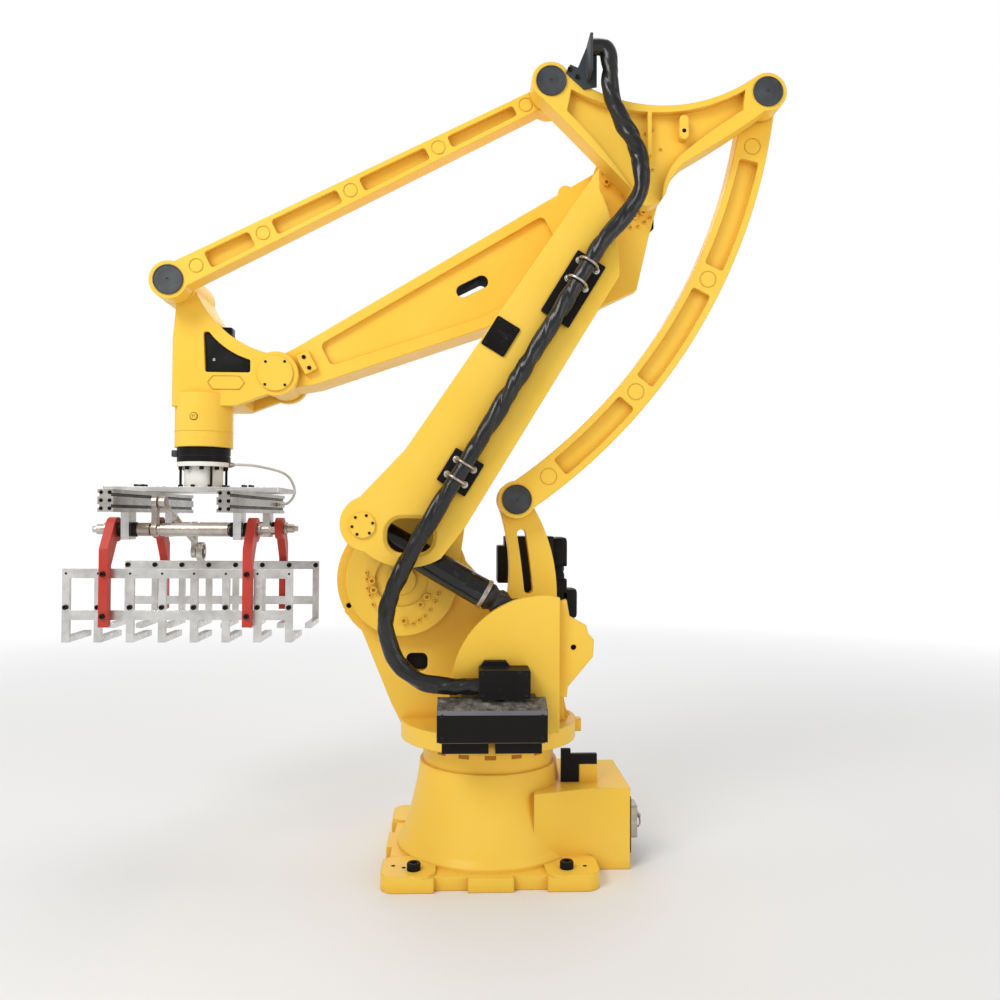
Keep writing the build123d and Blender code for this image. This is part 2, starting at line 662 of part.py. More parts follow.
with BuildPart() as balancer_rod:
    with BuildSketch(Plane(BALANCER_REAR, x_dir=(0, 1, 0), z_dir=BALANCER_DIR * -1)):
        Circle(ROD_R)
    extrude(amount=REACH - 150)
    with BuildSketch(side(BALANCER_Y + ROD_R)):
        with Locations((BALANCER_REAR_X, BALANCER_REAR_Z)):
            Circle(34)
    extrude(amount=2 * ROD_R)
    with BuildSketch(side(BALANCER_Y + ROD_R)):
        with Locations((BALANCER_REAR_X, BALANCER_REAR_Z)):
            Circle(BALANCER_PIN_R + PIN_CLEAR)
    extrude(amount=2 * ROD_R, mode=Mode.SUBTRACT)
save(balancer_rod, "balancer_rod")

# Rear link: a bowed bar with three pockets between round bosses
LINK_BOW = 149
LINK_WIDTH = 96
LINK_WEB = 22
LINK_RIM = 19
LINK_BOSS_R = 28
LINK_CORNER = 9
ROCKER_CORNER = 14
RING_R = 22
RING_WIDTH = 3
RING_DEPTH = 2
REAR_BOSSES = (105, 450, 845, 1252)
BOW_R = ((LOWER_LENGTH / 2) ** 2 + LINK_BOW ** 2) / (2 * LINK_BOW)
BOW_CENTRE = (LOWER_LENGTH / 2, LINK_BOW - BOW_R)


def bow_point(along, radius):
    """Point of the rear link's arc at a distance along its chord, on a circle of the given radius."""
    turn = asin((along - LOWER_LENGTH / 2) / BOW_R)
    return BOW_CENTRE[0] + radius * sin(turn), BOW_CENTRE[1] + radius * cos(turn)


def bow_strip(start, end, width):
    """Outline of a strip along the rear link's arc."""
    middle = (start + end) / 2
    with BuildSketch(mode=Mode.PRIVATE) as strip:
        with BuildLine():
            outer = ThreePointArc(*(bow_point(a, BOW_R + width / 2) for a in (start, middle, end)))
            inner = ThreePointArc(*(bow_point(a, BOW_R - width / 2) for a in (end, middle, start)))
            Line(outer @ 1, inner @ 0)
            Line(inner @ 1, outer @ 0)
        make_face()
        fillet(strip.vertices(), LINK_CORNER)
    return strip.sketch


with BuildPart() as rear_link:
    with BuildSketch(lower_plane(LINK_NEAR, POST_X, POST_Z)):
        add(bow_strip(0, LOWER_LENGTH, LINK_WIDTH))
        with Locations((0, 0), (LOWER_LENGTH, 0)):
            Circle(EYE_R)
    extrude(amount=LINK_THICK)
    for start, end in zip(REAR_BOSSES, REAR_BOSSES[1:]):
        with BuildSketch(lower_plane(LINK_NEAR, POST_X, POST_Z)):
            add(bow_strip(start + LINK_BOSS_R + 12, end - LINK_BOSS_R - 12, LINK_WIDTH - 2 * LINK_RIM))
        extrude(amount=LINK_WEB, mode=Mode.SUBTRACT)
    with BuildSketch(lower_plane(LINK_NEAR, POST_X, POST_Z)):
        with Locations(*(bow_point(along, BOW_R) for along in REAR_BOSSES)):
            Circle(RING_R + RING_WIDTH)
            Circle(RING_R, mode=Mode.SUBTRACT)
    extrude(amount=RING_DEPTH, mode=Mode.SUBTRACT)
    with BuildSketch(lower_plane(LINK_NEAR, POST_X, POST_Z)):
        with Locations((0, 0), (LOWER_LENGTH, 0)):
            Circle(PIN_R + PIN_CLEAR)
    extrude(amount=LINK_THICK, mode=Mode.SUBTRACT)
save(rear_link, "rear_link")

with BuildPart() as rear_link_cap:
    with BuildSketch(side(LINK_NEAR + CAP_THICK)):
        with Locations((POST_X, POST_Z)):
            Circle(CAP_R)
    extrude(amount=CAP_THICK)
save(rear_link_cap, "rear_link_cap")

# Rocker: the level triangle at the elbow, with a recessed face, ribs and two link eyes


def rocker_outline():
    """Outline of the rocker about the elbow, without its eyes."""
    with BuildSketch(mode=Mode.PRIVATE) as outline:
        with BuildLine():
            top = ThreePointArc((FRONT_X - 41, FRONT_Z + 23), (-19, FRONT_Z - 62), (REAR_X + 37, REAR_Z + 42))
            rear = Line(top @ 1, (REAR_X + 8, REAR_Z - 55))
            rear_edge = ThreePointArc(rear @ 1, (-205, 98), (-98, 31))
            hollow = ThreePointArc(rear_edge @ 1, (-58, -15), (-40, -60))
            vertex = ThreePointArc(hollow @ 1, (8, -90), (60, -50))
            front_edge = ThreePointArc(vertex @ 1, (165, 56), (FRONT_X + 24, FRONT_Z - 50))
            Line(front_edge @ 1, top @ 0)
        make_face()
    return outline.sketch


def rocker_plane(y):
    """Sketch plane of the rocker, with its origin on the elbow axis."""
    return Plane((ELBOW_X, y, ELBOW_Z), x_dir=(1, 0, 0), z_dir=(0, -1, 0))


with BuildPart() as rocker_casting:
    with BuildSketch(rocker_plane(ROCKER_NEAR)):
        add(rocker_outline())
        with Locations((FRONT_X, FRONT_Z), (REAR_X, REAR_Z)):
            Circle(EYE_R)
    extrude(amount=ROCKER_THICK)
    with BuildSketch(rocker_plane(ROCKER_NEAR)) as recess:
        with BuildLine():
            under_top = ThreePointArc((FRONT_X - 58, FRONT_Z - 22), (-19, FRONT_Z - 82),
                                      (REAR_X + 65, REAR_Z + 4))
            rear_end = Line(under_top @ 1, (REAR_X + 71, REAR_Z - 54))
            over_rear = ThreePointArc(rear_end @ 1, (-140, 97), (-84, 51))
            inner_hollow = ThreePointArc(over_rear @ 1, (-50, 6), (-30, -60))
            mouth = Polyline(inner_hollow @ 1, (-26, -120), (42, -120), (46, -64))
            over_front = ThreePointArc(mouth @ 1, (150, 72), (FRONT_X - 46, FRONT_Z - 84))
            Line(over_front @ 1, under_top @ 0)
        make_face()
        fillet(recess.vertices().filter_by(lambda corner: corner.Z > ELBOW_Z + 100), ROCKER_CORNER)
        with Locations((7, FRONT_Z - 130)):
            Rectangle(12, 150, mode=Mode.SUBTRACT)
        with Locations((-92, 130)):
            SlotOverall(70, 27, rotation=90, mode=Mode.SUBTRACT)
    extrude(amount=ROCKER_RECESS, mode=Mode.SUBTRACT)
    with BuildSketch(rocker_plane(ROCKER_BACK)):
        Circle(62)
    extrude(amount=ROCKER_BACK - FLANGE_FACE - SEAT_GAP)
    with BuildSketch(rocker_plane(ROCKER_NEAR - ROCKER_RECESS - 12)):
        Circle(PIN_R + PIN_CLEAR)
    extrude(amount=ROCKER_NEAR, mode=Mode.SUBTRACT)
    with BuildSketch(rocker_plane(ROCKER_BACK)):
        with Locations((FRONT_X, FRONT_Z), (REAR_X, REAR_Z)):
            Circle(PIN_R)
    extrude(amount=LINK_THICK + ROCKER_BACK - LINK_NEAR)
save(rocker_casting, "rocker_casting")

for name, spot in (("rocker_front_cap", (FRONT_X, FRONT_Z)), ("rocker_rear_cap", (REAR_X, REAR_Z))):
    with BuildPart() as cap:
        with BuildSketch(rocker_plane(ROCKER_NEAR + CAP_THICK)):
            with Locations(spot):
                Circle(CAP_R)
        extrude(amount=CAP_THICK)
    save(cap, name)

# Black sheet bracket on the rocker's front arm that holds the top of the hose
with BuildPart() as hose_bracket:
    with BuildSketch(rocker_plane(ROCKER_NEAR + CAP_THICK)):
        with BuildLine():
            Polyline((248, 275), (236, 298), (214, 289), (191, 346), (160, 330), (160, 236), (197, 229),
                     close=True)
        make_face()
    extrude(amount=CAP_THICK)
    with BuildSketch(side(HOSE_Y + HOSE_R + 2)):
        with Locations((HOSE_END_X + SEAT_GAP + BRACKET_TAB / 2, HOSE_END_Z - 24)):
            Rectangle(BRACKET_TAB, 100)
    extrude(amount=HOSE_Y + HOSE_R + 2 - ROCKER_NEAR)
save(hose_bracket, "hose_bracket")

# Front link: a straight tapered bar with four pockets between round bosses
FRONT_WIDE = 80
FRONT_NARROW = 58
FRONT_BOSSES = (74, 360, 644, 924, 1136)
FRONT_LINK_X = ELBOW_X + FRONT_X
FRONT_LINK_Z = ELBOW_Z + FRONT_Z


def front_half(along):
    """Half the front link's width at a distance from its rocker end."""
    return (FRONT_NARROW + (FRONT_WIDE - FRONT_NARROW) * along / UPPER_LENGTH) / 2


def front_strip(start, end, inset):
    """Outline of a stretch of the tapered front link."""
    with BuildSketch(mode=Mode.PRIVATE) as strip:
        with BuildLine():
            Polyline(
                (start, front_half(start) - inset),
                (end, front_half(end) - inset),
                (end, inset - front_half(end)),
                (start, inset - front_half(start)),
                close=True,
            )
        make_face()
        fillet(strip.vertices(), LINK_CORNER)
    return strip.sketch


with BuildPart() as front_link:
    with BuildSketch(upper_plane(LINK_NEAR, FRONT_LINK_X, FRONT_LINK_Z)):
        add(front_strip(0, UPPER_LENGTH, 0))
        with Locations((0, 0), (UPPER_LENGTH, 0)):
            Circle(EYE_R)
    extrude(amount=LINK_THICK)
    for start, end in zip(FRONT_BOSSES, FRONT_BOSSES[1:]):
        with BuildSketch(upper_plane(LINK_NEAR, FRONT_LINK_X, FRONT_LINK_Z)):
            add(front_strip(start + 36, end - 36, 14))
        extrude(amount=LINK_WEB, mode=Mode.SUBTRACT)
    with BuildSketch(upper_plane(LINK_NEAR, FRONT_LINK_X, FRONT_LINK_Z)):
        with Locations(*((along, 0) for along in FRONT_BOSSES)):
            Circle(RING_R - 4 + RING_WIDTH)
            Circle(RING_R - 4, mode=Mode.SUBTRACT)
    extrude(amount=RING_DEPTH, mode=Mode.SUBTRACT)
    with BuildSketch(upper_plane(LINK_NEAR, FRONT_LINK_X, FRONT_LINK_Z)):
        with Locations((0, 0), (UPPER_LENGTH, 0)):
            Circle(PIN_R + PIN_CLEAR)
    extrude(amount=LINK_THICK, mode=Mode.SUBTRACT)
save(front_link, "front_link")

with BuildPart() as front_link_cap:
    with BuildSketch(side(LINK_NEAR + CAP_THICK)):
        with Locations((HEAD_X, HEAD_Z)):
            Circle(CAP_R)
    extrude(amount=CAP_THICK)
save(front_link_cap, "front_link_cap")

# Upper arm: a tapered casting with a recessed side panel and a slot through it
UPPER_RECESS = 16
UPPER_KNEE = 600
UPPER_BOSS_R = 24
UPPER_SEAT_R = 50

with BuildPart() as upper_arm_casting:
    with BuildSketch(upper_plane(UPPER_NEAR)):
        with BuildLine():
            Polyline((-114, 44), (-40, 128), (150, 118), (UPPER_LENGTH - 90, 50), (UPPER_LENGTH, 49),
                     (UPPER_LENGTH, -49),
                     (UPPER_LENGTH - 90, -76), (UPPER_KNEE, -152), (90, -160), (56, -136), close=True)
        make_face()
        with Locations((UPPER_LENGTH, 0)):
            Circle(WRIST_EAR_R - 6)
    extrude(amount=UPPER_WIDTH)
    with BuildSketch(upper_plane(UPPER_NEAR)) as panel:
        with BuildLine():
            Polyline((290, 76), (UPPER_LENGTH - 155, 26), (UPPER_LENGTH - 155, -46), (UPPER_KNEE, -118),
                     (290, -122), close=True)
        make_face()
        fillet(panel.vertices(), 16)
    extrude(amount=UPPER_RECESS, mode=Mode.SUBTRACT)
    with BuildSketch(upper_plane(UPPER_NEAR)):
        with Locations((197, 106)):
            Circle(UPPER_BOSS_R)
    extrude(amount=2 * UPPER_BOSS_R)
    with BuildSketch(upper_plane(UPPER_NEAR)):
        with Locations((580, -18)):
            SlotOverall(104, 40)
    extrude(amount=UPPER_WIDTH, mode=Mode.SUBTRACT)
    with BuildSketch(upper_plane(LOWER_FAR - SEAT_GAP)):
        Circle(UPPER_SEAT_R)
    extrude(amount=RUN_GAP)
    with BuildSketch(upper_plane(UPPER_NEAR + EAR_GAP + WRIST_EAR)):
        with Locations((UPPER_LENGTH, 0)):
            Circle(PIN_R)
    extrude(amount=UPPER_WIDTH + 2 * EAR_GAP + 2 * WRIST_EAR)
save(upper_arm_casting, "upper_arm_casting")

# Elbow motor on the far side of the upper arm, on the elbow axis
with BuildPart() as elbow_motor:
    with BuildSketch(side(UPPER_NEAR - UPPER_WIDTH)):
        with Locations((ELBOW_X, ELBOW_Z)):
            RectangleRounded(1.6 * MOTOR_R, 1.6 * MOTOR_R, 20)
    extrude(amount=MOTOR_LENGTH)
save(elbow_motor, "elbow_motor")

# Wrist casting: a head of two ears on the upper arm, a neck to the front link and the turning housing


def wrist_window():
    """Three-cornered window through the wrist's side walls."""
    with BuildSketch(mode=Mode.PRIVATE) as window:
        with BuildLine():
            slope = ThreePointArc((TOOL_X - 26, WRIST_Z + 122), (TOOL_X - 88, WRIST_Z + 66),
                                  (TOOL_X - 148, WRIST_Z + 40))
            Polyline(slope @ 1, (TOOL_X - 148, WRIST_Z + 2), (TOOL_X - 16, WRIST_Z + 2),
                     (TOOL_X - 10, WRIST_Z + 122), slope @ 0)
        make_face()
        fillet(window.vertices(), 7)
    return window.sketch


with BuildPart() as wrist_casting:
    with BuildSketch(side(UPPER_NEAR + EAR_GAP + WRIST_EAR)):
        with BuildLine():
            saddle = ThreePointArc((HEAD_X - EYE_R, HEAD_Z - 14), (TOOL_X - 46, WRIST_Z + 150),
                                   (WRIST_X + 26, WRIST_Z + WRIST_EAR_R - 5))
            Polyline(
                saddle @ 1,
                (WRIST_X, WRIST_Z),
                (WRIST_X + 22, WRIST_Z - WRIST_EAR_R + 5),
                (TOOL_X - 107, WRIST_Z - 97),
                (TOOL_X + WRIST_SIDE, WRIST_Z - 100),
                (TOOL_X + WRIST_SIDE, WRIST_Z + 100),
                (TOOL_X + WRIST_SIDE - 9, WRIST_Z + 196),
                (HEAD_X + 38, HEAD_Z - 42),
                (HEAD_X, HEAD_Z),
                saddle @ 0,
            )
        make_face()
        with Locations((WRIST_X, WRIST_Z)):
            Circle(WRIST_EAR_R)
        with Locations((HEAD_X, HEAD_Z)):
            Circle(EYE_R)
        add(wrist_window(), mode=Mode.SUBTRACT)
    extrude(amount=2 * WRIST_EAR + 2 * EAR_GAP + UPPER_WIDTH)
    with BuildSketch(side(UPPER_NEAR + EAR_GAP)):
        with BuildLine():
            Polyline((WRIST_X - 200, WRIST_Z - 250), (TOOL_X - 120, WRIST_Z - 250), (TOOL_X - 120, WRIST_Z - 40),
                     (TOOL_X - 36, WRIST_Z - 40), (TOOL_X - 36, WRIST_Z + 300), (WRIST_X - 200, WRIST_Z + 300),
                     close=True)
        make_face()
    extrude(amount=2 * EAR_GAP + UPPER_WIDTH, mode=Mode.SUBTRACT)
    with BuildSketch(side(LINK_BACK - RUN_GAP)):
        with Locations((HEAD_X, HEAD_Z)):
            Circle(EYE_R)
    extrude(amount=LINK_BACK - RUN_GAP - UPPER_NEAR)
    with BuildSketch(Plane((TOOL_X, 0, WRIST_FOOT_Z))):
        Circle(WRIST_R)
    extrude(amount=WRIST_Z - 60 - WRIST_FOOT_Z)
    with BuildSketch(side(UPPER_NEAR + EAR_GAP + WRIST_EAR)):
        with Locations((WRIST_X, WRIST_Z)):
            Circle(PIN_R + PIN_CLEAR)
    extrude(amount=2 * WRIST_EAR + 2 * EAR_GAP + UPPER_WIDTH, mode=Mode.SUBTRACT)
    with BuildSketch(side(LINK_NEAR - CAP_THICK)):
        with Locations((HEAD_X, HEAD_Z)):
            Circle(PIN_R)
    extrude(amount=LINK_THICK)
save(wrist_casting, "wrist_casting")

with BuildPart() as wrist_pin_cover:
    with BuildSketch(side(UPPER_NEAR + EAR_GAP + WRIST_EAR + CAP_THICK)):
        with Locations((WRIST_X, WRIST_Z)):
            Circle(WRIST_COVER_R)
    extrude(amount=CAP_THICK)
save(wrist_pin_cover, "wrist_pin_cover")

# Tool flange, pillar and plate
with BuildPart() as tool_flange:
    with BuildSketch(Plane((TOOL_X, 0, WRIST_FOOT_Z - FLANGE_THICK))):
        Circle(FLANGE_R)
    extrude(amount=FLANGE_THICK - SEAT_GAP)
save(tool_flange, "tool_flange")

with BuildPart() as tool_pillar:
    with BuildSketch(Plane((TOOL_X, 0, PLATE_TOP))):
        Circle(PILLAR_R)
    extrude(amount=PILLAR_HEIGHT)
    with BuildSketch(Plane((TOOL_X, 0, PLATE_TOP + PILLAR_HEIGHT))):
        Circle(PILLAR_FLANGE_R)
    extrude(amount=-PILLAR_FLANGE)
save(tool_pillar, "tool_pillar")

with BuildPart() as gripper_plate:
    with BuildSketch(Plane((TOOL_X, 0, PROFILE_TOP))):
        RectangleRounded(PLATE_LENGTH, PLATE_WIDTH, 8)
    extrude(amount=PLATE_THICK)
save(gripper_plate, "gripper_plate")

# Two extruded profiles across the plate, and the bearing blocks that hang from them
with BuildPart() as cross_profiles:
    with BuildSketch(side(PROFILE_LENGTH / 2)):
        with Locations((TOOL_X, PROFILE_TOP - PROFILE_HEIGHT / 2)):
            with GridLocations(PROFILE_SPACING, 0, 2, 1):
                Rectangle(PROFILE_WIDTH, PROFILE_HEIGHT)
                with GridLocations(PROFILE_WIDTH, PROFILE_HEIGHT / 2, 2, 2):
                    Rectangle(2 * PROFILE_SLOT_DEPTH, PROFILE_SLOT, mode=Mode.SUBTRACT)
    extrude(amount=PROFILE_LENGTH)
save(cross_profiles, "cross_profiles")

with BuildPart() as bearing_blocks:
    with BuildSketch(Plane((TOOL_X, 0, SHAFT_Z - 28))):
        with GridLocations(PROFILE_SPACING, 2 * SHAFT_Y, 2, 2):
            Rectangle(22, 56)
    extrude(amount=SHAFT_DROP + 28)
    with BuildSketch(Plane((TOOL_X, 0, SHAFT_Z), x_dir=(0, 1, 0), z_dir=(1, 0, 0))):
        with GridLocations(2 * SHAFT_Y, 0, 2, 1):
            Circle(SHAFT_R + PIN_CLEAR)
    extrude(amount=PROFILE_SPACING, both=True, mode=Mode.SUBTRACT)
save(bearing_blocks, "bearing_blocks")

# Air tube: a thin tube from the pillar's flange over the plate's edge and down to the side of a cross profile
with BuildPart() as air_tube:
    with BuildLine() as path:
        Spline(
            (TOOL_X - PILLAR_FLANGE_R - SEAT_GAP, 0, PLATE_TOP + PILLAR_HEIGHT - PILLAR_FLANGE / 2),
            (TOOL_X - 160, -60, PLATE_TOP + 68),
            (TOOL_X - 220, -130, PLATE_TOP + 48),
            (TOOL_X - 238, -182, PLATE_TOP - 2),
            (TOOL_X - 212, AIR_TUBE_Y + 5, PROFILE_TOP - 26),
            (TOOL_X - PROFILE_SPACING / 2 - PROFILE_WIDTH / 2 - SEAT_GAP, AIR_TUBE_Y, PROFILE_TOP - PROFILE_HEIGHT / 2),
            tangents=((-1, 0, 0), (1, 0, 0)),
        )
    with BuildSketch(Plane(path.wire() @ 0, z_dir=path.wire() % 0)):
        Circle(AIR_TUBE_R)
    sweep(path=path.wire())
save(air_tube, "air_tube")

# The two claws: each a shaft with a crank, two bent arms and a rake of hooked fingers
for name, hand, crank_up in (("near", 1, 1), ("far", -1, -1)):
    shaft_y = hand * SHAFT_Y
    rake_y = hand * (SHAFT_Y + RAKE_OUT)
    leg_inner = RAKE_OUT + 2 + RAKE_BAR + SEAT_GAP
    with BuildPart() as shaft:
        with BuildSketch(Plane((TOOL_X, shaft_y, SHAFT_Z), x_dir=(0, 1, 0), z_dir=(1, 0, 0))):
            Circle(SHAFT_R)
        extrude(amount=SHAFT_LENGTH / 2, both=True)
        with BuildSketch(Plane((TOOL_X + CRANK_AT, shaft_y, SHAFT_Z), x_dir=(0, 1, 0), z_dir=(1, 0, 0))):
            with Locations((0, 0), (0, crank_up * CRANK_LENGTH)):
                Circle(20)
            with Locations((0, crank_up * CRANK_LENGTH / 2)):
                Rectangle(26, CRANK_LENGTH)
        extrude(amount=CRANK_THICK)
        with BuildSketch(Plane((TOOL_X + CRANK_AT, shaft_y, SHAFT_Z), x_dir=(0, 1, 0), z_dir=(1, 0, 0))):
            with Locations((0, crank_up * CRANK_LENGTH)):
                Circle(CRANK_PIN_R)
        extrude(amount=-26)
    save(shaft, f"{name}_shaft")
    with BuildPart() as arms:
        for spot in (-CLAW_ARM_SPACING / 2, CLAW_ARM_SPACING / 2):
            with BuildSketch(Plane((TOOL_X + spot, shaft_y, SHAFT_Z), x_dir=(0, hand, 0), z_dir=(hand, 0, 0))):
                Circle(34)
                with BuildLine():
                    Polyline((-30, 16), (28, 20), (leg_inner + CLAW_LEG, -52),
                             (leg_inner + CLAW_LEG, -LOW_RAIL_DROP - 30),
                             (leg_inner, -LOW_RAIL_DROP - 30), (leg_inner, -98), (8, -33), (-30, -16), close=True)
                make_face()
                Circle(SHAFT_R, mode=Mode.SUBTRACT)
            extrude(amount=CLAW_ARM_THICK / 2, both=True)
    save(arms, f"{name}_claw_arms")
    outer_face = SHAFT_Y + RAKE_OUT + 2 + RAKE_BAR if hand > 0 else -SHAFT_Y - RAKE_OUT - 2
    with BuildPart() as rake:
        with BuildSketch(side(outer_face)):
            with Locations((TOOL_X, SHAFT_Z - TOP_RAIL_DROP), (TOOL_X, SHAFT_Z - LOW_RAIL_DROP)):
                Rectangle(RAKE_LENGTH, RAKE_RAIL)
            with Locations((TOOL_X, SHAFT_Z - (TOP_RAIL_DROP + FINGER_DROP) / 2)):
                with GridLocations(FINGER_PITCH, 0, FINGER_COUNT, 1):
                    Rectangle(FINGER_WIDTH, FINGER_DROP - TOP_RAIL_DROP)
        extrude(amount=RAKE_BAR)
        with BuildSketch(Plane((TOOL_X, rake_y - hand * (FINGER_LENGTH / 2 - RAKE_BAR - 2), SHAFT_Z - FINGER_DROP))):
            with GridLocations(FINGER_PITCH, 0, FINGER_COUNT, 1):
                Rectangle(FINGER_WIDTH, FINGER_LENGTH)
        extrude(amount=FINGER_THICK)
    save(rake, f"{name}_rake")

# Tie rod that makes the claws move together, from the near crank's upper pin to the far crank's lower pin
TIE_X = TOOL_X + CRANK_AT - 14
TIE_NEAR = Vector(TIE_X, SHAFT_Y, SHAFT_Z + CRANK_LENGTH)
TIE_FAR = Vector(TIE_X, -SHAFT_Y, SHAFT_Z - CRANK_LENGTH)
TIE_SPAN = (TIE_FAR - TIE_NEAR).length
TIE_DIR = (TIE_FAR - TIE_NEAR).normalized()
TIE_EYE_R = CRANK_PIN_R + TIE_CLEAR + 8

with BuildPart() as tie_rod:
    with BuildSketch(Plane(TIE_NEAR + TIE_DIR * 14, x_dir=(1, 0, 0), z_dir=TIE_DIR)):
        Circle(TIE_ROD_R)
    extrude(amount=TIE_SPAN - 14 - TIE_EYE_R + 3)
    with BuildSketch(Plane((TIE_X, 0, 0), x_dir=(0, 1, 0), z_dir=(1, 0, 0))):
        with Locations((TIE_NEAR.Y, TIE_NEAR.Z)):
            Circle(TIE_EYE_SMALL)
        with Locations((TIE_FAR.Y, TIE_FAR.Z)):
            Circle(TIE_EYE_R)
    extrude(amount=TIE_EYE_HALF, both=True)
    with BuildSketch(Plane((TIE_X, 0, 0), x_dir=(0, 1, 0), z_dir=(1, 0, 0))):
        with Locations((TIE_NEAR.Y, TIE_NEAR.Z)):
            Circle(CRANK_PIN_R + PIN_CLEAR)
        with Locations((TIE_FAR.Y, TIE_FAR.Z)):
            Circle(CRANK_PIN_R + TIE_CLEAR)
    extrude(amount=10, both=True, mode=Mode.SUBTRACT)
save(tie_rod, "tie_rod")

# Wrist motor standing between the ears, and the stop block on the upper arm
with BuildPart() as wrist_motor:
    with BuildSketch(Plane((TOOL_X - 88, UPPER_NEAR - UPPER_WIDTH / 2, WRIST_Z - 40))):
        RectangleRounded(88, 96, 14)
    extrude(amount=150)
save(wrist_motor, "wrist_motor")

with BuildPart() as stop_block:
    with BuildSketch(upper_plane(UPPER_NEAR + STOP_THICK)):
        with Locations((UPPER_LENGTH - 95, -8)):
            Rectangle(40, 62)
    extrude(amount=STOP_THICK)
save(stop_block, "stop_block")

# Sleeved hose: a loop from the column to the lower arm, and one from the lower arm over the rocker


def hose_point(along):
    """Point of the hose's straight run, a distance up the lower arm."""
    spot = lower_plane(HOSE_Y).from_local_coords((along, HOSE_V, 0))
    return spot.X, spot.Z


LOWER_LOOP = (
    (36, 549),
    (150, 549),
    (250, 590),
    (296, 690),
    (280, 800),
    hose_point(HOSE_RUN[0] - 190),
    hose_point(HOSE_RUN[0]),
)
UPPER_LOOP = (
    hose_point(HOSE_RUN[1]),
    hose_point(HOSE_RUN[1] + 40),
    (-352, 1836),
    (-400, 1905),
    (-408, 1975),
    (-389, 2050),
    (-350, 2118),
    (-322, 2190),
    (-318, HOSE_END_Z),
    (HOSE_END_X, HOSE_END_Z),
)


def bend_radii(route):
    """Largest tangent bends that the runs of a route allow."""
    radii = []
    for before, corner, after in zip(route, route[1:], route[2:]):
        run_in = Vector(corner[0] - before[0], corner[1] - before[1])
        run_out = Vector(after[0] - corner[0], after[1] - corner[1])
        turn = radians(run_in.get_angle(run_out))
        radii.append(0.45 * min(run_in.length, run_out.length) / (sin(turn / 2) / cos(turn / 2)))
    return [max(bend, HOSE_R + 3) for bend in radii]


for name, route in (("hose_lower_loop", LOWER_LOOP), ("hose_upper_loop", UPPER_LOOP)):
    with BuildPart() as loop:
        with BuildLine(side(HOSE_Y)) as path:
            FilletPolyline(*route, radius=bend_radii(route))
        with BuildSketch(Plane(path.wire() @ 0, z_dir=path.wire() % 0)):
            Circle(HOSE_R)
        sweep(path=path.wire())
    save(loop, name)
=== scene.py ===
import json
from math import cos, pi, radians, sin

import bmesh
import bpy
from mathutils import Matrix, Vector, noise


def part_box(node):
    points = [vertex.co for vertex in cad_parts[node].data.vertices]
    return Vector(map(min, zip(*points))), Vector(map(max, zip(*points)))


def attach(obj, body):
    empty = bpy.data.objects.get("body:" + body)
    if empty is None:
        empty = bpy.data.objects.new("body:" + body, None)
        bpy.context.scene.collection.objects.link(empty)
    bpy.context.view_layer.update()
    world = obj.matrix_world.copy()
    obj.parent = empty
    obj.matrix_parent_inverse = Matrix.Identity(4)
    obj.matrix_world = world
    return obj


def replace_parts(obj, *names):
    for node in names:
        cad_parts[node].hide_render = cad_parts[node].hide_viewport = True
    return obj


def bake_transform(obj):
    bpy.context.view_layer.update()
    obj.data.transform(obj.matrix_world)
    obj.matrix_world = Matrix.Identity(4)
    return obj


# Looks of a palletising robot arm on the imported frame: paint, bolts, sleeved hose, boot and gripper fittings.
# Metres. +X points forward over the gripper, +Y to the near side, +Z up.

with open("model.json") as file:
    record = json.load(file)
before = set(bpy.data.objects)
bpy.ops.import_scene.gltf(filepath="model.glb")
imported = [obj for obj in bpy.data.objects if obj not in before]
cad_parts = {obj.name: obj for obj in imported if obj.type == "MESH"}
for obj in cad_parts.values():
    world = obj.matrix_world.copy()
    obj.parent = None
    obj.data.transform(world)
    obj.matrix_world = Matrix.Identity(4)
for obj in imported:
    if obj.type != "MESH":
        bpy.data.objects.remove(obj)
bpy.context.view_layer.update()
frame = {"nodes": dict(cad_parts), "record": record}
nodes = frame["nodes"]
record = frame["record"]
pivot = {joint["name"]: Vector(joint["pos_m"]) for joint in record["behaviour"]["joints"]}
slot_of = {entry["node"]: entry["material_slot"] for entry in record["subparts"]}
body_of_node = {node: body for body, names in record["behaviour"]["bodies"].items() for node in names}

NEAR = Vector((0, 1, 0))
UP = Vector((0, 0, 1))
DOWN = Vector((0, 0, -1))
FORWARD = Vector((1, 0, 0))
SHOULDER = pivot["shoulder"]
ELBOW = pivot["elbow"]
WRIST = pivot["wrist_pivot"]
TOOL = pivot["tool_turn"]
NEAR_SHAFT = pivot["claw"]
FAR_SHAFT = pivot["far_claw_pivot"]
LOWER_UP = (ELBOW - SHOULDER).normalized()
LOWER_REAR = Vector((-LOWER_UP.z, 0, LOWER_UP.x))
UPPER_ALONG = (WRIST - ELBOW).normalized()
UPPER_UP = Vector((-UPPER_ALONG.z, 0, UPPER_ALONG.x))
TAU = 2 * pi


def low(node):
    """Lowest corner of a CAD node."""
    return Vector(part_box(node)[0])


def high(node):
    """Highest corner of a CAD node."""
    return Vector(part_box(node)[1])


def middle(node):
    """Centre of a CAD node's box."""
    return (low(node) + high(node)) / 2


def at_depth(point, y):
    """The same place in the side view, at depth y."""
    return Vector((point.x, y, point.z))


def on_lower(along, rear, y):
    """Point by its distance up the lower arm, its distance to the arm's rear and its depth."""
    return at_depth(SHOULDER + LOWER_UP * along + LOWER_REAR * rear, y)


def on_upper(along, up, y):
    """Point by its distance along the upper arm, its height over the arm's line and its depth."""
    return at_depth(ELBOW + UPPER_ALONG * along + UPPER_UP * up, y)


# Materials


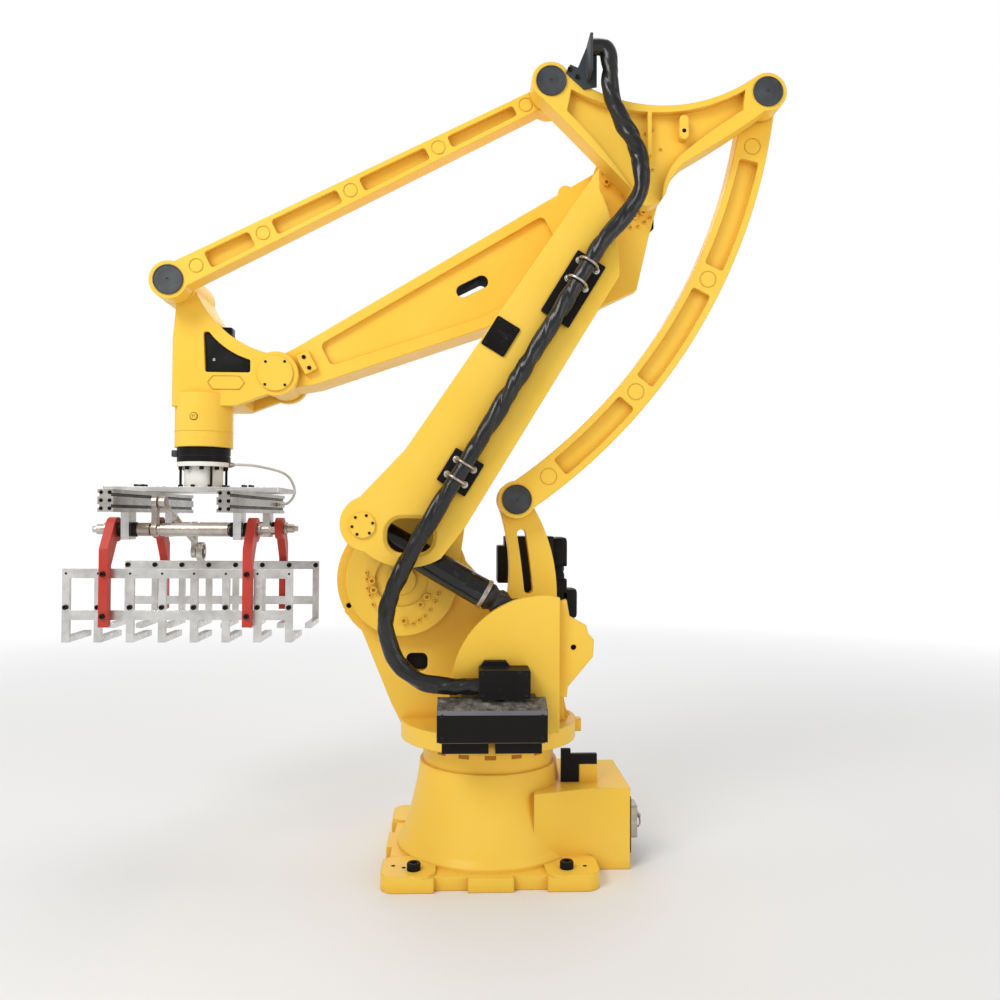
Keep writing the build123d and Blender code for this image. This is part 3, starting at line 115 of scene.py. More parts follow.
class Finish:
    """A Principled material with short ways to add procedural detail."""

    def __init__(self, name, metallic=0.0, specular=0.5, coat=0.0):
        self.material = bpy.data.materials.new(name)
        self.material.use_nodes = True
        self.tree = self.material.node_tree
        self.shader = self.tree.nodes["Principled BSDF"]
        self.shader.inputs["Metallic"].default_value = metallic
        self.shader.inputs["Specular IOR Level"].default_value = specular
        self.shader.inputs["Coat Weight"].default_value = coat
        self.shader.inputs["Coat Roughness"].default_value = 0.12
        self.place = self.add("ShaderNodeTexCoord").outputs["Object"]
        self.normal = None

    def add(self, kind, **inputs):
        """A new shader node with some inputs set or linked."""
        node = self.tree.nodes.new(kind)
        for name, value in inputs.items():
            self.feed(node.inputs[name.replace("_", " ")], value)
        return node

    def feed(self, socket, value):
        """Links a socket to an output, or sets it to a value."""
        if isinstance(value, bpy.types.NodeSocket):
            self.tree.links.new(value, socket)
        else:
            socket.default_value = value

    def cloud(self, scale, detail=4.0, stretch=None, rough=0.55):
        """Noise over the part's own coordinates, from 0 to 1."""
        place = self.place
        if stretch:
            place = self.add("ShaderNodeMapping", Vector=place, Scale=stretch).outputs["Vector"]
        node = self.add("ShaderNodeTexNoise", Vector=place, Scale=scale, Detail=detail, Roughness=rough)
        return node.outputs["Fac"]

    def span(self, value, start, end, to_start=0.0, to_end=1.0):
        """A value mapped from one range to another, clamped."""
        node = self.add("ShaderNodeMapRange")
        for index, number in enumerate((value, start, end, to_start, to_end)):
            self.feed(node.inputs[index], number)
        return node.outputs[0]

    def blend(self, share, first, second):
        """Two colours mixed by a share."""
        node = self.tree.nodes.new("ShaderNodeMix")
        node.data_type = "RGBA"
        self.feed(node.inputs[0], share)
        for socket, colour in ((node.inputs[6], first), (node.inputs[7], second)):
            self.feed(socket, (*colour, 1.0) if isinstance(colour, tuple) else colour)
        return node.outputs[2]

    def times(self, first, second):
        """Product of two values."""
        node = self.tree.nodes.new("ShaderNodeMath")
        node.operation = "MULTIPLY"
        self.feed(node.inputs[0], first)
        self.feed(node.inputs[1], second)
        return node.outputs[0]

    def round_edges(self, radius):
        """Softens edges in the shading and returns a mask of where they are."""
        bevel = self.add("ShaderNodeBevel", Radius=radius)
        bevel.samples = 10
        self.normal = bevel.outputs["Normal"]
        plain = self.add("ShaderNodeNewGeometry").outputs["Normal"]
        turn = self.tree.nodes.new("ShaderNodeVectorMath")
        turn.operation = "DOT_PRODUCT"
        self.feed(turn.inputs[0], self.normal)
        self.feed(turn.inputs[1], plain)
        return self.span(turn.outputs["Value"], 0.995, 0.86)

    def painted_corner_shade(self, reach):
        """Mask of the places that lie deep in corners, where shade is painted."""
        node = self.add("ShaderNodeAmbientOcclusion", Distance=reach)
        node.samples = 12
        return self.span(node.outputs["AO"], 0.75, 0.25)

    def bump(self, height, strength, distance):
        """Relief on top of what the normal holds so far."""
        node = self.add("ShaderNodeBump", Height=height, Strength=strength, Distance=distance)
        if self.normal:
            self.feed(node.inputs["Normal"], self.normal)
        self.normal = node.outputs["Normal"]

    def finish(self, colour, roughness):
        """Links the results to the shader and returns the material."""
        self.feed(self.shader.inputs["Base Color"], colour)
        self.feed(self.shader.inputs["Roughness"], roughness)
        if self.normal:
            self.feed(self.shader.inputs["Normal"], self.normal)
        return self.material


def cast_paint(name, body, pale, deep, wear, edge=0.006):
    """Sprayed paint on a casting: soft edges with a painted highlight and chips, orange peel, slow colour drift, dark
    specks and painted shade in the corners.
    """
    paint = Finish(name, coat=0.05, specular=0.14)
    edges = paint.round_edges(edge)
    painted_corner_shade = paint.painted_corner_shade(0.07)
    drift = paint.span(paint.cloud(2.3, 3.0), 0.35, 0.68)
    colour = paint.blend(paint.times(drift, 0.5), body, pale)
    # Painted shade: deep corners darkened towards the deep tone.
    colour = paint.blend(paint.times(painted_corner_shade, 0.75), colour, deep)
    specks = paint.span(paint.cloud(75.0, 5.0, rough=0.7), 0.70, 0.76)
    colour = paint.blend(paint.times(specks, 0.25), colour, deep)
    chips = paint.times(edges, paint.span(paint.cloud(48.0, 4.0, rough=0.7), 0.52, 0.62))
    # Painted highlight: edges lightened towards the pale tone.
    colour = paint.blend(paint.times(edges, 0.35), colour, pale)
    colour = paint.blend(paint.times(chips, 0.16), colour, wear)
    paint.bump(paint.cloud(22.0, 3.0), 0.10, 0.004)
    paint.bump(paint.cloud(420.0, 2.0), 0.06, 0.0012)
    return paint.finish(colour, paint.span(paint.cloud(9.0, 4.0), 0.3, 0.7, 0.30, 0.44))


def dark_paint(name, body, pale, edge=0.0015, roughness=(0.32, 0.5), grain=520.0, specular=0.10):
    """Satin black coat with a fine texture and greyed edges."""
    paint = Finish(name, specular=specular)
    edges = paint.round_edges(edge)
    drift = paint.span(paint.cloud(7.0, 4.0), 0.35, 0.7)
    colour = paint.blend(paint.times(drift, 0.6), body, pale)
    scuffs = paint.span(paint.cloud(26.0, 6.0, rough=0.75), 0.60, 0.72)
    colour = paint.blend(paint.times(scuffs, 0.22), colour, (0.16, 0.155, 0.15))
    colour = paint.blend(paint.times(edges, 0.45), colour, (0.14, 0.14, 0.14))
    paint.bump(paint.cloud(grain, 2.0), 0.12, 0.0008)
    return paint.finish(colour, paint.span(paint.cloud(14.0, 4.0), 0.3, 0.7, *roughness))


def worn_black():
    """Black box whose upward faces are rubbed to grey and dusty from feet."""
    paint = Finish("worn_black", specular=0.12)
    paint.round_edges(0.003)
    plain = paint.add("ShaderNodeNewGeometry").outputs["Normal"]
    facing = paint.add("ShaderNodeSeparateXYZ", Vector=plain)
    upward = paint.span(facing.outputs["Z"], 0.25, 0.6)
    rubbed = paint.span(paint.cloud(30.0, 8.0, rough=0.75), 0.40, 0.62)
    share = paint.times(upward, paint.span(rubbed, 0.0, 1.0, 0.25, 1.0))
    patches = paint.span(paint.cloud(62.0, 7.0, rough=0.75), 0.38, 0.72)
    dust = paint.blend(patches, (0.13, 0.11, 0.09), (0.46, 0.43, 0.38))
    colour = paint.blend(share, (0.009, 0.008, 0.0075), dust)
    paint.bump(paint.cloud(300.0, 3.0), 0.15, 0.001)
    return paint.finish(colour, paint.span(share, 0.0, 1.0, 0.22, 0.8))


def bare_metal(name, bright, dull, stretch):
    """Bare metal with drawn or milled grain along one way, smudges and bright edges."""
    metal = Finish(name, metallic=1.0)
    edges = metal.round_edges(0.0012)
    smudge = metal.span(metal.cloud(11.0, 6.0, rough=0.65), 0.38, 0.68)
    colour = metal.blend(smudge, bright, dull)
    stain = metal.span(metal.cloud(34.0, 7.0, rough=0.75), 0.60, 0.75)
    colour = metal.blend(metal.times(stain, 0.35), colour, tuple(0.45 * tone for tone in dull))
    colour = metal.blend(metal.times(edges, 0.5), colour, tuple(min(1.0, 1.12 * tone) for tone in bright))
    lines = metal.cloud(90.0, 3.0, stretch)
    metal.bump(lines, 0.16, 0.0006)
    metal.bump(metal.cloud(260.0, 3.0), 0.06, 0.0006)
    return metal.finish(colour, metal.span(lines, 0.3, 0.7, 0.24, 0.46))


def sleeve_vinyl():
    """Black vinyl sleeve: glossy creases on a fine weave."""
    vinyl = Finish("sleeve_vinyl", specular=0.5)
    drift = vinyl.span(vinyl.cloud(9.0, 4.0), 0.3, 0.7)
    colour = vinyl.blend(drift, (0.004, 0.0037, 0.0037), (0.010, 0.0095, 0.0095))
    dust = vinyl.span(vinyl.cloud(42.0, 6.0, rough=0.7), 0.62, 0.78)
    colour = vinyl.blend(vinyl.times(dust, 0.25), colour, (0.17, 0.16, 0.15))
    vinyl.bump(vinyl.cloud(60.0, 5.0, (1.0, 1.0, 0.35)), 0.22, 0.004)
    vinyl.bump(vinyl.cloud(900.0, 1.0), 0.10, 0.0005)
    return vinyl.finish(colour, vinyl.span(vinyl.cloud(25.0, 4.0), 0.3, 0.7, 0.20, 0.36))


def crumpled_cloth():
    """Black coated cloth of the balancer's boot."""
    cloth = Finish("boot_cloth", specular=0.3)
    colour = cloth.blend(cloth.cloud(30.0, 5.0), (0.010, 0.010, 0.010), (0.045, 0.042, 0.040))
    cloth.bump(cloth.cloud(70.0, 6.0, rough=0.65), 0.35, 0.004)
    cloth.bump(cloth.cloud(1100.0, 1.0), 0.12, 0.0004)
    return cloth.finish(colour, cloth.span(cloth.cloud(40.0, 4.0), 0.3, 0.7, 0.34, 0.62))


def moulded_cap(name, body, pale):
    """Satin moulded plastic with a little dust."""
    plastic = Finish(name)
    plastic.round_edges(0.001)
    drift = plastic.span(plastic.cloud(16.0, 5.0), 0.35, 0.7)
    colour = plastic.blend(drift, body, pale)
    dust = plastic.span(plastic.cloud(70.0, 6.0, rough=0.7), 0.62, 0.75)
    colour = plastic.blend(plastic.times(dust, 0.3), colour, (0.22, 0.22, 0.21))
    plastic.bump(plastic.cloud(600.0, 2.0), 0.14, 0.0006)
    return plastic.finish(colour, plastic.span(plastic.cloud(20.0, 4.0), 0.3, 0.7, 0.38, 0.56))


# The pale yellow also makes the painted highlight on edges; the deep yellow makes the painted shade in corners and
# the dark specks.
YELLOW = (0.93, 0.58, 0.066)
YELLOW_PALE_AND_HIGHLIGHT = (0.97, 0.68, 0.12)
YELLOW_SHADE_AND_SPECKS = (0.70, 0.32, 0.020)
PRIMER = (0.30, 0.17, 0.06)

STEEL_GRAIN = (0.15, 1.0, 1.0)
ALUMINIUM_GRAIN = (0.12, 1.0, 1.0)

finishes = {
    "yellow_paint": cast_paint("yellow_paint", YELLOW, YELLOW_PALE_AND_HIGHLIGHT, YELLOW_SHADE_AND_SPECKS, PRIMER),
    "black_satin": dark_paint("black_satin", (0.008, 0.0072, 0.007), (0.017, 0.016, 0.016)),
    "motor_black": dark_paint("motor_black", (0.009, 0.009, 0.009), (0.020, 0.020, 0.020), edge=0.003, grain=260.0),
    "black_plastic": moulded_cap("black_plastic", (0.028, 0.030, 0.033), (0.058, 0.066, 0.072)),
    "black_rubber": sleeve_vinyl(),
    "bare_steel": bare_metal("bare_steel", (0.62, 0.59, 0.55), (0.38, 0.31, 0.25), STEEL_GRAIN),
    "bare_aluminium": bare_metal("bare_aluminium", (0.76, 0.75, 0.73), (0.50, 0.485, 0.465), ALUMINIUM_GRAIN),
    "red_paint": cast_paint("red_paint", (0.50, 0.042, 0.030), (0.64, 0.11, 0.08), (0.24, 0.015, 0.012),
                            (0.45, 0.43, 0.40), edge=0.002),
    "off_white_paint": cast_paint("off_white_paint", (0.86, 0.86, 0.80), (0.92, 0.92, 0.88), (0.56, 0.55, 0.49),
                                  (0.5, 0.48, 0.44), edge=0.0015),
    "pale_tube": moulded_cap("pale_tube", (0.60, 0.61, 0.62), (0.76, 0.77, 0.78)),
}
looks = {
    **finishes,
    "worn_black": worn_black(),
    "boot_cloth": crumpled_cloth(),
    "gloss_black": dark_paint("gloss_black", (0.004, 0.004, 0.004), (0.010, 0.0095, 0.009), roughness=(0.10, 0.20),
                              grain=60.0, specular=0.45),
    "edge_grey": dark_paint("edge_grey", (0.15, 0.145, 0.165), (0.23, 0.225, 0.245), grain=160.0, specular=0.3),
    "box_strip_brown": dark_paint("box_strip_brown", (0.13, 0.08, 0.03), (0.20, 0.13, 0.05)),
    "pocket_shade": cast_paint("pocket_shade", (0.40, 0.17, 0.014), (0.48, 0.22, 0.02), (0.24, 0.09, 0.008), PRIMER),
    "slate_satin": dark_paint("slate_satin", (0.046, 0.052, 0.056), (0.075, 0.084, 0.090)),
    # Darker copy of the bare aluminium: painted shade for the cross profiles under the plate.
    "aluminium_painted_shade": bare_metal("aluminium_painted_shade", (0.58, 0.56, 0.53), (0.36, 0.34, 0.31), ALUMINIUM_GRAIN),
    # Near-black paint: painted shade in holes, screw holes and the arm's slot.
    "hole_shade_black": dark_paint("hole_shade_black", (0.003, 0.003, 0.003), (0.007, 0.007, 0.007), roughness=(0.6, 0.9)),
}
OTHER_LOOKS = {
    "side_box": "worn_black", "balancer_tube": "gloss_black", "hose_bracket": "slate_satin",
    # The cross profiles take the darker aluminium as painted shade.
    "cross_profiles": "aluminium_painted_shade",
}

for name, thing in nodes.items():
    thing.data.materials.clear()
    thing.data.materials.append(looks[OTHER_LOOKS.get(name, slot_of[name])])


# Mesh builders


def wall(mesh, below, above):
    """Faces between two closed rings of points."""
    count = len(below)
    for index in range(count):
        after = (index + 1) % count
        mesh.faces.new((below[index], below[after], above[after], above[index]))


def skin(mesh, rings):
    """Walls from ring to ring, closed at both ends."""
    for below, above in zip(rings, rings[1:]):
        wall(mesh, below, above)
    mesh.faces.new(list(reversed(rings[0])))
    mesh.faces.new(rings[-1])


def lathe(mesh, at, axis, profile, sides=24):
    """Turned shape about an axis: profile is (radius, height) pairs, or (radius, height, 6) for a hexagon."""
    turn = axis.to_track_quat("Z", "Y")
    rings = []
    for entry in profile:
        radius, height = entry[:2]
        ring = []
        for index in range(sides):
            angle = TAU * index / sides
            reach = radius
            if len(entry) == 3:
                reach = radius * cos(pi / 6) / cos((angle % (pi / 3)) - pi / 6)
            ring.append(mesh.verts.new(at + turn @ Vector((reach * cos(angle), reach * sin(angle), height))))
        rings.append(ring)
    skin(mesh, rings)


def collar(inner, outer, length, edge):
    """Profile of a ring with chamfered rims."""
    return (inner, 0.0), (outer, edge), (outer, length - edge), (inner, length)


def socket_screw(mesh, at, axis, radius, height=None):
    """Cap screw with a hexagon socket."""
    height = height or 1.1 * radius
    lathe(mesh, at, axis, (
        (radius, -0.2 * height), (radius, 0.84 * height), (0.88 * radius, height),
        (0.58 * radius, height, 6), (0.55 * radius, 0.35 * height, 6),
    ))


def hex_bolt(mesh, at, axis, radius, height):
    """Hexagon bolt on a washer."""
    lathe(mesh, at, axis, (
        (1.3 * radius, -0.1 * height), (1.3 * radius, 0.18 * height), (1.02 * radius, 0.2 * height),
        (radius, 0.22 * height, 6), (radius, 1.0 * height, 6), (0.8 * radius, 1.18 * height),
    ))


def drilled_hole(mesh, at, axis, radius):
    """Dark disc in the mouth of a small hole, flush with its face: painted shade of the hole."""
    lathe(mesh, at, axis, (
        (radius, -0.002), (radius, 0.0003), (0.9 * radius, 0.0006), (0.75 * radius, 0.0004)), 16)


def box_shape(mesh, centre, size, edge):
    """Box with chamfered edges."""
    made = bmesh.ops.create_cube(mesh, size=1.0)["verts"]
    bmesh.ops.scale(mesh, vec=Vector(size), verts=made)
    edges = list({e for v in made for e in v.link_edges})
    bevelled = bmesh.ops.bevel(mesh, geom=edges, offset=edge, segments=2, affect="EDGES", profile=0.6)
    made = list({v for f in bevelled["faces"] for v in f.verts} | {v for v in made if v.is_valid})
    bmesh.ops.translate(mesh, vec=Vector(centre), verts=made)


def prism(mesh, outline, near, far):
    """Solid with a side-view outline, from one depth to another, both ends chamfered."""
    rings = [[mesh.verts.new((x, y, z)) for x, z in outline] for y in (near, far)]
    wall(mesh, *rings)
    ends = [mesh.faces.new(ring) for ring in rings]
    bmesh.ops.recalc_face_normals(mesh, faces=mesh.faces[:])
    edges = list({edge for face in ends for edge in face.edges})
    bmesh.ops.bevel(mesh, geom=edges, offset=0.004, segments=2, affect="EDGES", profile=0.6)


def pipe(mesh, points, radius, sides=12):
    """Round bar through points; radius is a number, or a function of the share along it and the angle."""
    size = radius if callable(radius) else (lambda share, angle: radius)
    rings = []
    across = None
    for index, point in enumerate(points):
        ahead = (points[min(index + 1, len(points) - 1)] - points[max(index - 1, 0)]).normalized()
        if across is None:
            across = ahead.orthogonal().normalized()
        across = (across - ahead * across.dot(ahead)).normalized()
        other = ahead.cross(across)
        share = index / (len(points) - 1)
        ring = []
        for step in range(sides):
            angle = TAU * step / sides
            reach = size(share, angle)
            ring.append(mesh.verts.new(point + (across * cos(angle) + other * sin(angle)) * reach))
        rings.append(ring)
    skin(mesh, rings)


def smooth_route(points, step):
    """Points close together on a smooth curve through the given ones."""
    ends = [2 * points[0] - points[1], *points, 2 * points[-1] - points[-2]]
    route = []
    for before, start, end, after in zip(ends, ends[1:], ends[2:], ends[3:]):
        count = max(2, round((end - start).length / step))
        for index in range(count):
            t = index / count
            route.append(0.5 * (2 * start + (end - before) * t
                                + (2 * before - 5 * start + 4 * end - after) * t * t
                                + (3 * start - before - 3 * end + after) * t ** 3))
    return [*route, points[-1]]


def route_length(route):
    """Length of a line through points."""
    return sum((b - a).length for a, b in zip(route, route[1:]))


# Pieces


def piece(name, build, look, body=None, smooth=40):
    """A new mesh piece from a building function, with its material and the body it rides on."""
    mesh = bmesh.new()
    build(mesh)
    bmesh.ops.recalc_face_normals(mesh, faces=mesh.faces)
    data = bpy.data.meshes.new(name)
    mesh.to_mesh(data)
    mesh.free()
    thing = bpy.data.objects.new(name, data)
    bpy.context.collection.objects.link(thing)
    data.materials.append(looks[look])
    data.shade_smooth()
    data.set_sharp_from_angle(angle=radians(smooth))
    if body:
        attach(thing, body)
    return thing


def turned(name, at, axis, profile, look, body, sides, smooth=40):
    """A piece that is one turned shape."""
    return piece(name, lambda mesh: lathe(mesh, at, axis, profile, sides), look, body, smooth)


def block(name, centre, size, edge, look, body):
    """A piece that is one box."""
    return piece(name, lambda mesh: box_shape(mesh, centre, size, edge), look, body)


def screws(name, spots, axis, radius, look, body, height=None):
    """One piece that holds a set of like screws."""
    def build(mesh):
        for spot in spots:
            socket_screw(mesh, spot, axis, radius, height)
    return piece(name, build, look, body)


def holes(name, spots, axis, radius, body):
    """One piece that holds a set of like holes, each a dark disc of painted shade."""
    def build(mesh):
        for spot in spots:
            drilled_hole(mesh, spot, axis, radius)
    return piece(name, build, "hole_shade_black", body)


def circle_spots(centre, y, radius, angles):
    """Places on a circle seen from the near side; angles in degrees from +X towards +Z."""
    return [Vector((centre.x + radius * cos(radians(a)), y, centre.z + radius * sin(radians(a)))) for a in angles]


def flat_circle(centre, z, radius, angles):
    """Places on a level circle; angles in degrees from +X towards +Y."""
    return [Vector((centre.x + radius * cos(radians(a)), centre.y + radius * sin(radians(a)), z)) for a in angles]


def side_spots(centre, y, offsets):
    """Places given by their offsets from a centre in the side view, in millimetres."""
    return [Vector((centre.x + x / 1000, y, centre.z + z / 1000)) for x, z in offsets]


def face_grid(xs, y, zs):
    """Places where columns and rows cross on a face at depth y."""
    return [Vector((x, y, z)) for x in xs for z in zs]


# Pivot caps: dished discs with a turned rim and a centre mark

CAP_PROFILE = (
    (1.0, 0.0), (1.0, 0.75), (0.975, 1.0), (0.93, 1.0), (0.91, 0.72), (0.60, 0.66), (0.585, 0.60),
    (0.30, 0.60), (0.12, 0.62), (0.11, 0.25),
)

for node in ("rocker_front_cap", "rocker_rear_cap", "rear_link_cap", "front_link_cap"):
    radius = (high(node).x - low(node).x) / 2
    depth = high(node).y - low(node).y
    profile = [(wide * radius, deep * depth) for wide, deep in CAP_PROFILE]
    cap = turned(f"{node}_disc", at_depth(middle(node), low(node).y), NEAR, profile, "black_plastic",
                 body_of_node[node], 64, 25)
    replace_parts(cap, node)

# Sleeved hose: the lower loop, the run up the arm and the upper loop

HOSE_Y = middle("hose_arm_run").y
HOSE_R = 0.024
HOSE_REAR = -0.015
RUN_FROM, RUN_TO = 0.300, 1.060
RUN_START = on_lower(RUN_FROM, HOSE_REAR, HOSE_Y)
RUN_END = on_lower(RUN_TO, HOSE_REAR, HOSE_Y)
U_BOLT_ALONG = (0.330, 0.378, 0.972, 1.032)
LOWER_ROUTE = [Vector((x, HOSE_Y, z)) for x, z in (
    (0.030, 0.549), (0.110, 0.549), (0.190, 0.562), (0.250, 0.606), (0.283, 0.675), (0.288, 0.745), (0.262, 0.830),
)]
UPPER_ROUTE = [Vector((x, HOSE_Y, z)) for x, z in (
    (-0.352, 1.836), (-0.400, 1.905), (-0.408, 1.975), (-0.389, 2.050), (-0.350, 2.118), (-0.322, 2.190),
    (-0.318, 2.262), (-0.316, 2.292), (-0.307, 2.311), (-0.290, 2.318), (-0.268, 2.318),
)]


def sleeve_radius(length, start, held):
    """Radius of the loose sleeve: sharp folds that wind round it, drawn tight at the places where it is held."""
    def size(share, angle):
        travel = share * length
        place = start + travel
        wander = noise.noise(Vector((4.0 * place, 1.0, 0.3)))
        wind = angle + 24.0 * place + 2.2 * wander
        slack = min(1.0, 0.6 + 0.9 * abs(noise.noise(Vector((5.0 * place, 1.7, 2.0)))))
        slack *= min(1.0, *(abs(travel - spot) / 0.06 for spot in held))
        ridge = abs(sin(wind)) ** 0.6
        second = abs(sin(1.5 * wind + 6.0 * place)) ** 1.5
        ripple = noise.noise(Vector((42.0 * place, 2.4 * cos(wind), 2.4 * sin(wind))))
        return HOSE_R * (0.91 + slack * (0.24 * ridge + 0.10 * second - 0.17) + 0.04 * ripple)
    return size


def hose_piece(name, node, points, start, held, held_past_end):
    """One length of sleeved hose in place of its plain CAD tube."""
    route = smooth_route(points, 0.005)
    length = route_length(route)
    size = sleeve_radius(length, start, (*held, length + held_past_end))
    hose = piece(name, lambda mesh: pipe(mesh, route, size, 56), "black_rubber", None, 60)
    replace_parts(hose, node)
    return hose, start + length


lower_hose, place = hose_piece(
    "hose_sleeve_lower", "hose_lower_loop", [*LOWER_ROUTE, on_lower(0.150, HOSE_REAR, HOSE_Y), RUN_START],
    0.0, (0.0,), U_BOLT_ALONG[0] - RUN_FROM)
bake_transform(lower_hose)
arm_hose, place = hose_piece(
    "hose_sleeve_arm", "hose_arm_run", [RUN_START, RUN_END],
    place, [along - RUN_FROM for along in U_BOLT_ALONG], U_BOLT_ALONG[-1] - RUN_TO)
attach(arm_hose, "lower_arm")
upper_hose, place = hose_piece(
    "hose_sleeve_upper", "hose_upper_loop", [RUN_END, on_lower(1.100, HOSE_REAR, HOSE_Y), *UPPER_ROUTE],
    place, (U_BOLT_ALONG[-1] - RUN_TO,), 0.0)
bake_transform(upper_hose)

# Hose clamps: U-bolts with nuts on the black saddles

U_BOLT_R = 0.004
SADDLE_Y = high("hose_clamp_lower").y


def u_bolts(mesh):
    """Steel Us over the hose, each with two nuts on its saddle."""
    reach = HOSE_R + U_BOLT_R
    for along in U_BOLT_ALONG:
        arc = [on_lower(along, HOSE_REAR + reach * cos(a), HOSE_Y + reach * sin(a))
               for a in (pi * step / 16 for step in range(17))]
        feet = [on_lower(along, HOSE_REAR + reach * side, SADDLE_Y - 0.004) for side in (1, -1)]
        pipe(mesh, [feet[0], *arc, feet[1]], U_BOLT_R, 10)
        for side in (1, -1):
            hex_bolt(mesh, on_lower(along, HOSE_REAR + reach * side, SADDLE_Y), NEAR, 0.0075, 0.007)


piece("hose_u_bolts", u_bolts, "bare_steel", "lower_arm")

# Balancer: crumpled cloth boot, a longer tube end and a clamp ring

BALANCER_FRONT = pivot["balancer_tube_pivot"]
BALANCER_REAR = pivot["balancer_rod_pivot"]
BALANCER_DIR = (BALANCER_REAR - BALANCER_FRONT).normalized()
TUBE_END = 0.330
TUBE_R = 0.0421
BOOT_START = 0.400
BOOT_LENGTH = 0.120
BOOT_STEPS = 60
RING_LENGTH = 0.014


def on_balancer(along):
    """Point by its distance along the balancer."""
    return BALANCER_FRONT + BALANCER_DIR * along


def boot_radius(share, angle):
    """Radius of the boot with its crumples, drawn in at the far end."""
    crumple = noise.noise(Vector((9.0 * share, 2.0 * cos(angle), 2.0 * sin(angle))))
    ring = sin(TAU * 3.2 * share + 1.6 * crumple)
    return 0.036 + 0.0035 * ring + 0.005 * crumple - 0.006 * share


def boot(mesh):
    """Cloth tube from the tube's end towards the rod's eye."""
    points = [on_balancer(BOOT_START + BOOT_LENGTH * step / BOOT_STEPS) for step in range(BOOT_STEPS + 1)]
    pipe(mesh, points, boot_radius, 48)


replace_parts(piece("balancer_boot_cloth", boot, "boot_cloth", "balancer_tube", 70), "balancer_boot")
turned("balancer_tube_end", on_balancer(TUBE_END - 0.001), BALANCER_DIR, (
    (0.0415, 0.0), (TUBE_R, 0.001), (TUBE_R, BOOT_START - TUBE_END), (0.0360, BOOT_START - TUBE_END + 0.002),
), "gloss_black", "balancer_tube", 72)
turned("balancer_clamp_ring", on_balancer(BOOT_START - RING_LENGTH), BALANCER_DIR, (
    (0.0405, 0.0), (0.0440, 0.001), (0.0448, 0.007), (0.0440, 0.013), (0.0405, RING_LENGTH),
), "bare_steel", "balancer_tube", 64)

# Bolts of the shoulder and elbow discs, painted over

FLANGE_Y = low("lower_arm_casting").y + 0.045
DISC_SCREWS = (
    ("shoulder_disc_screws", SHOULDER, 0.0062, (
        (103, 22), (101, 3), (99, -24), (92, -44), (83, -72), (66, -92), (-35, -127), (-52, -117), (-69, -105),
        (-84, -88), (-99, -63), (-108, -41))),
    ("shoulder_disc_bolts", SHOULDER, 0.0105, ((86, -2), (81, -29), (-56, -71), (-75, -48), (-8, -119))),
    ("elbow_disc_screws", ELBOW, 0.0052, (
        (58, -111), (34, -114), (12, -111), (-9, -98), (-26, -84), (132, -31), (138, -3), (119, 49))),
    ("elbow_disc_bolts", ELBOW, 0.0105, ((23, -81), (-2, -68), (-34, 66), (108, 18))),
)
for name, centre, radius, offsets in DISC_SCREWS:
    screws(name, side_spots(centre, FLANGE_Y, offsets), NEAR, radius, "yellow_paint", "lower_arm")

# Screws of the two round pin covers, the rocker and the flat plates

for cover, share, angles in (("balancer_pin_cover", 0.80, (48, 112, 168, 228, 300, 352)),
                             ("wrist_pin_cover", 0.86, (50, 128, 230, 312))):
    radius = share * (high(cover).x - low(cover).x) / 2
    # Near-black screws: painted shade of the screw holes.
    screws(f"{cover}_screws", circle_spots(middle(cover), high(cover).y, radius, angles), NEAR, 0.0040,
           "hole_shade_black", body_of_node[cover], height=0.0022)
ROCKER_Y = high("rocker_casting").y
ROCKER_FLOOR_Y = ROCKER_Y - 0.026
BRACKET_FOOT_Y = high("hose_bracket").y - 0.076
screws("rocker_floor_screws", side_spots(ELBOW, ROCKER_FLOOR_Y, (
    (17, 118), (-8, 129), (-30, 74), (-6, 14), (24, 38))), NEAR, 0.0042, "yellow_paint", "rocker", height=0.004)
holes("rocker_boss_hole", side_spots(ELBOW, ROCKER_Y, ((-92, 120),)), NEAR, 0.006, "rocker")
screws("hose_bracket_screws", side_spots(ELBOW, BRACKET_FOOT_Y, ((238, 283), (216, 262))), NEAR, 0.006,
       "black_satin", "rocker")
# Near-black screws: painted shade of the two small holes.
screws("stop_block_screws", [on_upper(1.130, up, high("stop_block").y) for up in (-0.026, 0.010)], NEAR, 0.006,
       "hole_shade_black", "upper_arm", height=0.004)
COVER_ALONG, COVER_REAR = 0.736, -0.118
screws("arm_cover_screws", [
    on_lower(COVER_ALONG + along, COVER_REAR + rear, high("arm_cover_plate").y)
    for along in (-0.037, 0.037) for rear in (-0.027, 0.027)
], NEAR, 0.0045, "black_satin", "lower_arm", height=0.0035)
outlet_low, outlet_high = low("hose_outlet"), high("hose_outlet")
screws("hose_outlet_screws", face_grid(
    (outlet_low.x + 0.011, outlet_high.x - 0.011), outlet_high.y, (outlet_low.z + 0.011, outlet_low.z + 0.067),
), NEAR, 0.005, "black_satin", "column", height=0.003)

# Side box: screws, pale edge and a thin brown strip under it

BOX_EDGE_Z = 0.494
BOX_FLOOR_Z = 0.410
box_low, box_high = low("side_box"), high("side_box")
BOX_WIDTH = box_high.x - box_low.x
SKIRT_Y = box_high.y - 0.026
screws("side_box_screws", face_grid((box_low.x + 0.014, box_high.x - 0.014), box_high.y, (0.424, 0.480)), NEAR,
       0.0048, "black_satin", "column", height=0.003)
# Near-black screws: painted shade of the screw holes.
screws("skirt_screws", face_grid((-0.102, 0.102), SKIRT_Y, (BOX_FLOOR_Z - 0.013,)), NEAR, 0.0045, "hole_shade_black",
       "column", height=0.002)
block("side_box_edge", (0, box_high.y - 0.0004, BOX_EDGE_Z - 0.0058), (BOX_WIDTH - 0.001, 0.0024, 0.0122), 0.0008,
      "edge_grey", "column")
block("side_box_low_strip", (0, box_high.y - 0.016, BOX_FLOOR_Z - 0.0013), (BOX_WIDTH - 0.014, 0.030, 0.0026), 0.0005,
      "box_strip_brown", "column")
